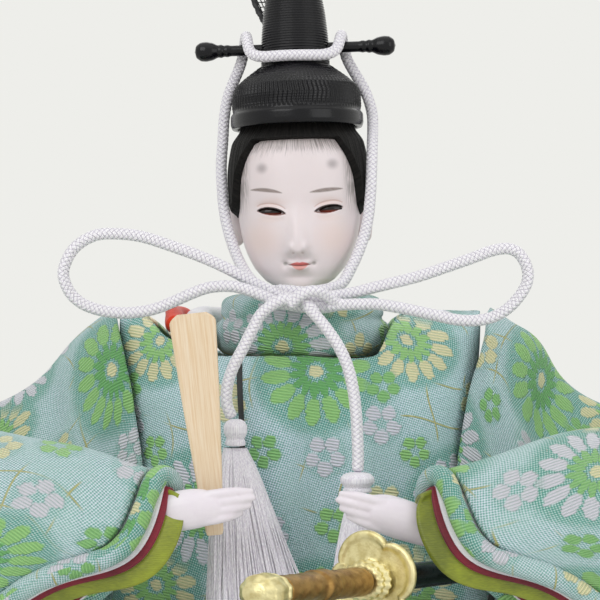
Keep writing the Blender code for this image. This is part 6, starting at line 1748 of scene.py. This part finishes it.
def skirt(name, top, height, length, half_w, drift, count, seed):
    """A tassel's skirt: a soft core with many separate threads over and round it."""
    rng = np.random.default_rng(seed)
    shares = ((0.0, 0.21), (0.12, 0.38), (0.36, 0.62), (0.70, 0.85), (1.0, 1.0))
    verts = []
    faces = []

    def place(down, angle, share):
        wide = half_w * float(np.interp(down, [s[0] for s in shares], [s[1] for s in shares]))
        return np.array(
            (
                top[0] + drift[0] * down + wide * share * math.sin(angle),
                top[1] + drift[1] * down - wide * 0.58 * share * math.cos(angle),
                PIVOT.z + top[2] - height - 0.0003 - length * down,
            )
        )

    core = 40
    for j in range(14):
        for q in range(core):
            verts.append(tuple(place(0.93 * j / 13, 2 * math.pi * q / core, 0.88 + 0.03 * math.sin(q * 2.9 + j))))
    for j in range(13):
        for q in range(core):
            faces.append((j * core + q, (j + 1) * core + q, (j + 1) * core + (q + 1) % core, j * core + (q + 1) % core))
    faces.append(tuple(range(core)))
    faces.append(tuple(13 * core + q for q in range(core))[::-1])
    for k in range(count):
        angle = rng.random() * 2 * math.pi
        share = math.sqrt(rng.random()) * 0.99 if k % 3 else 0.93 + 0.07 * rng.random()
        end = 0.93 + 0.07 * rng.random()
        sway = rng.normal() * 0.05
        loose = 0.42 * rng.random() if k % 5 == 0 and math.sin(angle) > 0.1 else 0.0
        radius = 0.00016 + 0.00010 * rng.random()
        base = len(verts)
        steps = 12
        for j in range(steps):
            down = end * j / (steps - 1)
            a = angle + sway * math.sin(down * 4 + k)
            centre = place(down, a, share * (1 + 0.02 * math.sin(down * 9 + k) + loose * down**2))
            r = radius * (1.0 if j < steps - 1 else 0.4)
            for q in range(4):
                t = q * math.pi / 2
                verts.append((centre[0] + r * math.cos(t), centre[1] + r * math.sin(t), centre[2]))
        for j in range(steps - 1):
            for q in range(4):
                a0 = base + j * 4 + q
                a1 = base + j * 4 + (q + 1) % 4
                faces.append((a0, a0 + 4, a1 + 4, a1))
        faces.append((base, base + 1, base + 2, base + 3))
        end0 = base + (steps - 1) * 4
        faces.append((end0 + 3, end0 + 2, end0 + 1, end0))
    data = bpy.data.meshes.new(name)
    data.from_pydata(verts, [], faces)
    return add(name, data, FLOSS)


TASSELS = (
    ("right", (-0.0150, -0.0368, -0.0226), 0.0027, 0.0064, 0.0430, 0.0118, (0.0055, -0.0120), 620),
    ("left", (0.0132, -0.0412, -0.0346), 0.0039, 0.0048, 0.0400, 0.0080, (-0.0004, -0.0080), 460),
)
TASSEL_HEAD_SHARES = ((0.05, 0.0), (0.45, -0.02), (0.80, -0.10), (1.0, -0.28), (1.0, -0.50), (0.80, -0.68), (0.72, -0.74), (0.84, -0.80), (0.86, -0.90), (0.84, -0.97), (0.4, -1.0))
for side, top, radius, height, length, half_w, drift, count in TASSELS:
    profile = fine_profile([(radius * r, height * z) for r, z in TASSEL_HEAD_SHARES], 64)
    wound = turned_object(
        "tassel_knot_" + side,
        profile[::-1],
        FLOSS,
        steps=160,
        relief=lambda angle, z, r: 0.00006 * np.sin(angle * 30 + z / 0.004) * (r > 0.0008),
    )
    wound.location = (top[0], top[1], PIVOT.z + top[2])
    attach(wound, "torso")
    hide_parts("tassel_head_" + side)
    threads = skirt("tassel_threads_" + side, top, height, length, half_w, drift, count, 31 if side == "right" else 37)
    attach(threads, "torso")
    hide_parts("tassel_skirt_" + side)


# ---- hands ----
def hand_material():
    made, g, shader = material("shell_hand", 0.34, Coat_Weight=0.15, Coat_Roughness=0.3)
    at = g.vec("MULTIPLY", g.place(), (1000.0, 1000.0, 1000.0))
    soft = g.noise(at, 0.35, 3.0)
    g.put(shader.inputs["Base Color"], g.mix(soft, lin("e6dde6"), lin("efe9ef")))
    g.put(shader.inputs["Normal"], g.bump(g.noise(at, 2.5, 3.0), 0.00004, 0.5))
    g.put(shader.inputs["Roughness"], g.math("ADD", 0.28, g.math("MULTIPLY", soft, 0.12)))
    return made


HAND = hand_material()


def join_smooth(name, pieces, voxel, look, smooth=6, factor=0.5):
    """One skin over several rounded pieces, remeshed and smoothed."""
    bm = bmesh.new()
    for verts, faces in pieces:
        made = [bm.verts.new(v) for v in verts]
        for face in faces:
            bm.faces.new([made[i] for i in face])
    data = bpy.data.meshes.new(name)
    bm.to_mesh(data)
    bm.free()
    item = add(name, data, look)
    mesh_change = item.modifiers.new("Skin", "REMESH")
    mesh_change.mode = "VOXEL"
    mesh_change.voxel_size = voxel
    mesh_change.use_smooth_shade = True
    relax = item.modifiers.new("Relax", "SMOOTH")
    relax.factor = factor
    relax.iterations = smooth
    bpy.context.view_layer.update()
    seen = item.evaluated_get(bpy.context.evaluated_depsgraph_get())
    fresh = bpy.data.meshes.new_from_object(seen)
    item.modifiers.clear()
    item.data = fresh
    if not fresh.materials:
        fresh.materials.append(look)
    fresh.shade_smooth()
    return item


def blob(centres, radii, flat=1.0, around=20, sub=10, matrix=None):
    """A rounded limb through centres with radii; flat squeezes it front to back."""
    centres = np.asarray(centres, float)
    radii = np.asarray(radii, float)
    count = max(sub * (len(centres) - 1), 2)
    w = weights(len(centres), np.linspace(0, 1, count + 1))
    line = w @ centres
    size = np.maximum(w @ radii, 0.0002)
    tangent, side, up = frames_along(line)
    verts = []
    faces = []
    first = []
    caps = []
    for end, sign in ((0, -1), (-1, 1)):
        rings = []
        for c, s in ((0.92, 0.40), (0.70, 0.72), (0.38, 0.93)):
            rings.append((line[end] + sign * tangent[end] * size[end] * c, size[end] * s, end))
        caps.append(rings)
    stack = [*caps[0], *[(line[k], size[k], k) for k in range(len(line))], *caps[1][::-1]]
    for centre, r, k in stack:
        for q in range(around):
            t = 2 * math.pi * q / around
            offset = math.cos(t) * side[k] + math.sin(t) * up[k]
            offset = offset * (1.0, flat, 1.0)
            verts.append(tuple(centre + r * offset))
    for j in range(len(stack) - 1):
        for q in range(around):
            a0 = j * around + q
            a1 = j * around + (q + 1) % around
            faces.append((a0, a1, a1 + around, a0 + around))
    faces.append(tuple(range(around))[::-1])
    last = (len(stack) - 1) * around
    faces.append(tuple(last + q for q in range(around)))
    if matrix is not None:
        verts = [tuple(matrix @ Vector(v)) for v in verts]
    return verts, faces


def arm_end(side):
    """The wrist's line from inside the sleeve to the hand."""
    reach = 0.030 + 0.120 * 0.608
    wrist = 0.0245 + 0.0030
    z0 = 0.1665
    table = (
    (0.940, -0.3000, 0.7417),
    (0.795, -0.4143, 0.7495),
    (0.616, -0.5357, 0.7520),
    (0.430, -0.6600, 0.7520),
    (0.232, -0.7786, 0.7477),
    (0.099, -0.8429, 0.7435),
    (0.0, -0.8743, 0.7423),
    )
    return [(side * (wrist + (reach - wrist) * x), 0.070 * y, z0 * z) for x, y, z in table]


HAND_AT = {"right": (-0.0245, -0.0632, 0.1236), "left": (0.0222, -0.0610, 0.1212)}
SHAKU_AT = (-0.0245 + 0.0056, -0.0632 + 0.0057, 0.1236 - 0.0058)


def make_hand(name, side):
    at = Vector(HAND_AT[name])
    tilt = math.radians(side * (7.0 if name == "right" else 14.0))
    local = Matrix.Translation(at) @ Matrix.Rotation(tilt, 4, "Y")
    toward = -side
    back_by = 0.0026 if name == "right" else 0.0
    pieces = []
    # palm: a tapering pad from the wrist to the knuckles
    pieces.append(
        blob(
            [(-toward * 0.0190, 0.0080 + back_by, 0.0002), (-toward * 0.0120, 0.0030 + back_by, -0.0003), (-toward * 0.0065, 0.0008 + back_by * 0.55, -0.0002), (-toward * 0.0020, 0.0002, 0.0003), (toward * 0.0020, 0.0, 0.0004), (toward * 0.0048, -0.0002, 0.0002)],
            [0.0031, 0.0036, 0.0041, 0.0045, 0.0044, 0.0038],
            0.60,
            matrix=local,
        )
    )
    # four fingers together, each bent a little
    for root_z, tip_x, tip_z, r in ((0.0029, 0.0134, 0.0027, 0.00112), (0.0010, 0.0137, 0.0012, 0.00118), (-0.0009, 0.0126, -0.0004, 0.00114), (-0.0027, 0.0106, -0.0019, 0.00104)):
        pieces.append(
            blob(
                [
                    (toward * 0.0014, 0.0, root_z * 0.9),
                    (toward * (0.0014 + (tip_x - 0.0014) * 0.45), -0.0009, root_z * 0.98 + 0.0002),
                    (toward * (0.0014 + (tip_x - 0.0014) * 0.8), -0.0008, (root_z + tip_z) / 2 + 0.0002),
                    (toward * (tip_x + 0.0008), 0.0001, tip_z),
                ],
                [r * 1.25, r * 1.08, r, r * 0.62],
                0.95,
                around=16,
                matrix=local,
            )
        )
    if name == "right":
        # thumb behind the board
        back = SHAKU_AT[1] + 0.0009 + 0.0017 + 0.0003
        pieces.append(
            blob(
                [(at.x - 0.0020, at.y + 0.0014, at.z + 0.0006), (at.x + 0.0006, back + 0.0001, at.z + 0.0012), (at.x + 0.0064, back, at.z + 0.0021)],
                [0.0019, 0.0018, 0.0013],
            )
        )
    else:
        pieces.append(
            blob(
                [(at.x + 0.0010, at.y + 0.0016, at.z + 0.0028), (at.x - 0.0030, at.y + 0.0022, at.z + 0.0040), (at.x - 0.0068, at.y + 0.0020, at.z + 0.0044)],
                [0.0019, 0.0017, 0.0012],
            )
        )
    # wrist that runs back into the sleeve
    line = arm_end(side)
    wrist = [Vector(p) for p in line[-4:-1]]
    pieces.append(blob(wrist, [0.0030, 0.0031, 0.0030], 0.9))
    hand = join_smooth("hand_shape_" + name, pieces, 0.00030, HAND, smooth=7, factor=0.5)
    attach(hand, "torso")
    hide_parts("hand_" + name)
    return hand


make_hand("right", -1)
make_hand("left", 1)

# ---- shaku ----
SHAKU_LOOK, g, shader = material("shaku_wood", 0.5)
at = g.vec("MULTIPLY", g.place(), (1000.0, 1000.0, 1000.0))
grain = g.noise(g.vec("MULTIPLY", at, (2.6, 2.6, 0.06)), 1.0, 4.0, 0.6)
line = g.noise(g.vec("MULTIPLY", at, (6.0, 6.0, 0.20)), 1.0, 2.0, 0.6)
g.put(shader.inputs["Base Color"], g.mix(g.step(g.math("ADD", grain, g.math("MULTIPLY", line, 0.4)), 0.45, 0.95), lin("e0c39c"), lin("eedcc2")))
g.put(shader.inputs["Normal"], g.bump(line, 0.00006, 0.6))
g.put(shader.inputs["Roughness"], g.math("ADD", 0.42, g.math("MULTIPLY", grain, 0.15)))


def make_shaku():
    """A flat board that widens upward, with a rounded top, soft edges and three shallow flutes."""
    rows = []
    heights = np.concatenate([np.linspace(0, 0.955, 60), 0.955 + 0.045 * np.sin(np.linspace(0, math.pi / 2, 12)[1:])])
    around = 64
    a = np.arange(around) * 2 * math.pi / around
    for h in heights:
        wide = 0.0019 + (0.0052 - 0.0019) * float(np.interp(h, [0.0, 0.24, 0.58, 0.955], [0.0, 0.30, 0.685, 1.0]))
        if h > 0.955:
            wide *= 1 - 0.38 * ((h - 0.955) / 0.045) ** 2
        if h < 0.01:
            wide *= 0.9
        x = wide * np.sign(np.sin(a)) * np.abs(np.sin(a)) ** 0.35
        y = -0.0009 * np.sign(np.cos(a)) * np.abs(np.cos(a)) ** 0.45
        flute = 0.00016 * np.cos(x / wide * math.pi * 2.2) * (np.abs(np.cos(a)) > 0.2) * smooth_step(0.3, 0.5, h)
        y = y * (1 - 0.10 + flute / 0.0009)
        rows.append(np.stack([x, y, np.full(around, 0.0495 * h)], axis=1))
    piece = grid_object("shaku_board", np.array(rows)[:, ::-1], SHAKU_LOOK, closed=True, caps=True)
    piece.matrix_world = Matrix.Translation(SHAKU_AT) @ Matrix.Rotation(math.radians(-6.0), 4, "Y")
    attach(piece, "shaku")
    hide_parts("shaku")


make_shaku()

# ---- sword ----
AXIS = Vector((-0.52, -0.85, 0.06)).normalized()
SIDE = Vector((AXIS.y, -AXIS.x, 0.0)).normalized()
UP = AXIS.cross(SIDE).normalized()
if UP.z < 0:
    SIDE, UP = -SIDE, -UP
SWORD_MATRIX = Matrix.Translation(Vector((0.0154, -0.0750, 0.1100))) @ Matrix((SIDE, UP, AXIS)).transposed().to_4x4()
FLAT = Matrix.Diagonal((1.0, 0.80, 1.0, 1.0))


def gold_material(name, bright, deep, roughness):
    made, g, shader = material(name, roughness, 1.0)
    at = g.vec("MULTIPLY", g.place(), (1000.0, 1000.0, 1000.0))
    wear = g.noise(at, 0.5, 4.0)
    pits = g.noise(at, 2.2, 3.0)
    g.put(shader.inputs["Base Color"], g.mix(g.step(wear, 0.35, 0.7), lin(bright), lin(deep)))
    g.put(shader.inputs["Roughness"], g.math("ADD", roughness - 0.08, g.math("MULTIPLY", pits, 0.25)))
    g.put(shader.inputs["Normal"], g.bump(pits, 0.00012, 0.6))
    return made


GOLD = gold_material("gilt_metal", "e6dcaa", "cbbd86", 0.36)
BRONZE = gold_material("bronze_grip_metal", "a5834d", "866538", 0.38)


def make_guard():
    """The lobed guard with a raised rim and a ring of grooves round the blade's hole."""
    count = 240
    a = np.arange(count) * 2 * math.pi / count
    lobe = np.abs(np.sin(2 * a + math.pi / 4)) ** 0.7
    edge = 0.0112 * (1 - 0.20 * (1 - lobe))
    # radius share, height
    section = ((0.02, 0.00055), (0.30, 0.00055), (0.34, 0.00082), (0.40, 0.00082), (0.43, 0.00045), (0.70, 0.00045), (0.80, 0.00050), (0.84, 0.00088), (0.93, 0.0009), (0.985, 0.00072), (1.0, 0.0003), (1.0, -0.0003), (0.985, -0.00072), (0.93, -0.0009), (0.84, -0.00088), (0.80, -0.0005), (0.43, -0.00045), (0.02, -0.0005))
    line = fine_profile(section, 90)
    rows = []
    for share, z in line:
        r = edge * share if share > 0.5 else (edge * share) * (share / 0.5) + 0.0100 * share * (1 - share / 0.5)
        rows.append(np.stack([r * np.cos(a), r * np.sin(a), np.full(count, z)], axis=1))
    piece = grid_object("guard_plate", np.array(rows)[:, ::-1], GOLD, closed=True, caps=True)
    piece.matrix_world = SWORD_MATRIX
    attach(piece, "sword")
    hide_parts("sword_guard")


make_guard()


def sword_turned(name, node, points, look, count=90, relief=None, steps=72, flat=FLAT):
    piece = turned_object(name, fine_profile(points, count), look, steps=steps, relief=relief)
    piece.matrix_world = SWORD_MATRIX @ flat
    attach(piece, "sword")
    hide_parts(node)
    return piece


low = 0.0009 + 0.0003
sword_turned("bead_collar", "sword_collar", [(0.001, low), (0.0056, low + 0.0001), (0.0057, low + 0.0008), (0.0047, low + 0.0016), (0.0050, low + 0.0026), (0.0052, low + 0.0032), (0.0045, low + 0.0039), (0.001, low + 0.0040)], GOLD, relief=lambda a, z, r: 0.00022 * np.cos(a * 18) * (r > 0.0042))
grip_low = low + 0.0040 + 0.0003
sword_turned(
    "grip_body",
    "sword_grip",
    [(0.001, grip_low), (0.0039, grip_low + 0.0002), (0.00385, grip_low + 0.006), (0.0038, grip_low + 0.0136), (0.0044, grip_low + 0.0142), (0.0044, grip_low + 0.0182), (0.0038, grip_low + 0.0188), (0.0037, grip_low + 0.026), (0.0038, grip_low + 0.0326), (0.001, grip_low + 0.0330)],
    BRONZE,
    count=150,
    relief=lambda a, z, r: 0.00010 * np.sin(a * 3 + z / 0.0011) * np.sin(z / 0.0016) * (r > 0.003),
)
pommel_low = grip_low + 0.0330 + 0.0003
sword_turned(
    "pommel_cap",
    "sword_pommel",
    [(0.001, pommel_low), (0.0042, pommel_low + 0.0002), (0.0044, pommel_low + 0.0010), (0.0039, pommel_low + 0.0015), (0.0046, pommel_low + 0.0024), (0.0048, pommel_low + 0.0044), (0.0044, pommel_low + 0.0066), (0.0027, pommel_low + 0.0081), (0.0008, pommel_low + 0.0085)],
    GOLD,
    relief=lambda a, z, r: 0.00012 * np.cos(a * 10) * (r > 0.003),
)
high = -0.0009 - 0.0003
sword_turned(
    "scabbard_lacquered",
    "sword_scabbard",
    [(0.0005, high - 0.096), (0.0017, high - 0.0958), (0.0021, high - 0.0945), (0.0031, high - 0.0924), (0.00345, high - 0.06), (0.0036, high - 0.0066), (0.00412, high - 0.0060), (0.00414, high - 0.0004), (0.0038, high - 0.0001), (0.001, high)],
    LACQUER,
    count=150,
)

# ---- belt, padding and knees ----
belt_rows = []
for j in range(9):
    z = 0.0845 + 0.0085 * j / 8
    belt_rows.append([robe_point(360.0 * i / 144, z, CLOTH / 2 + 0.0028 + 0.0007 + 0.0018) for i in range(144)])
belt_grid = np.array(belt_rows)
belt = grid_object("belt_band", belt_grid, BELT_CLOTH, thick=0.0014, closed=True)
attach(belt, "torso")
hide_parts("belt")


def soft_copy(node, name, look, scale=1.0, level=1, bulge=0.0):
    """A softened copy of a padded solid, slightly within its space."""
    source = NODES[node]
    data = source.data.copy()
    data.name = name
    item = bpy.data.objects.new(name, data)
    bpy.context.scene.collection.objects.link(item)
    item.matrix_world = source.matrix_world.copy()
    data.materials.clear()
    data.materials.append(look)
    bm = bmesh.new()
    bm.from_mesh(data)
    bmesh.ops.remove_doubles(bm, verts=bm.verts, dist=0.00002)
    middle = sum((v.co for v in bm.verts), Vector()) / len(bm.verts)
    for v in bm.verts:
        n = v.normal
        v.co = v.co - n * (0.0002 + 0.00015 * math.sin(v.co.x * 900) * math.sin(v.co.z * 800 + 1.0))
    bm.to_mesh(data)
    bm.free()
    data.shade_smooth()
    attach(item, "torso")
    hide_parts(node)
    return item


soft_copy("chest_pad", "chest_wad", COTTON_LOOK)
soft_copy("arm_pad_right", "arm_wad_right", COTTON_LOOK)
soft_copy("arm_pad_left", "arm_wad_left", COTTON_LOOK)
soft_copy("knee_right", "knee_cover_right", WHITE_SILK)
soft_copy("knee_left", "knee_cover_left", WHITE_SILK)
hanger = soft_copy("sword_hanger", "hanger_loop", BELT_CLOTH)

CORD_LENGTHS = {}
for name, limits in (
    ("chin_cord", None),
    ("bow_loop_right", "object"),
    ("bow_loop_left", "object"),
    ("cord_tail_right", "object"),
    ("cord_tail_left", "object"),
):
    piece, path = cords[name]
    length = run_length(path)
    if name == "chin_cord":
        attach(piece, "head")
    else:
        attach(piece, "torso")
    end = "object"
    if name.startswith("cord_tail"):
        side = name.rsplit("_", 1)[1]
        end = "fitting"
    CORD_LENGTHS[name] = round(length, 4)
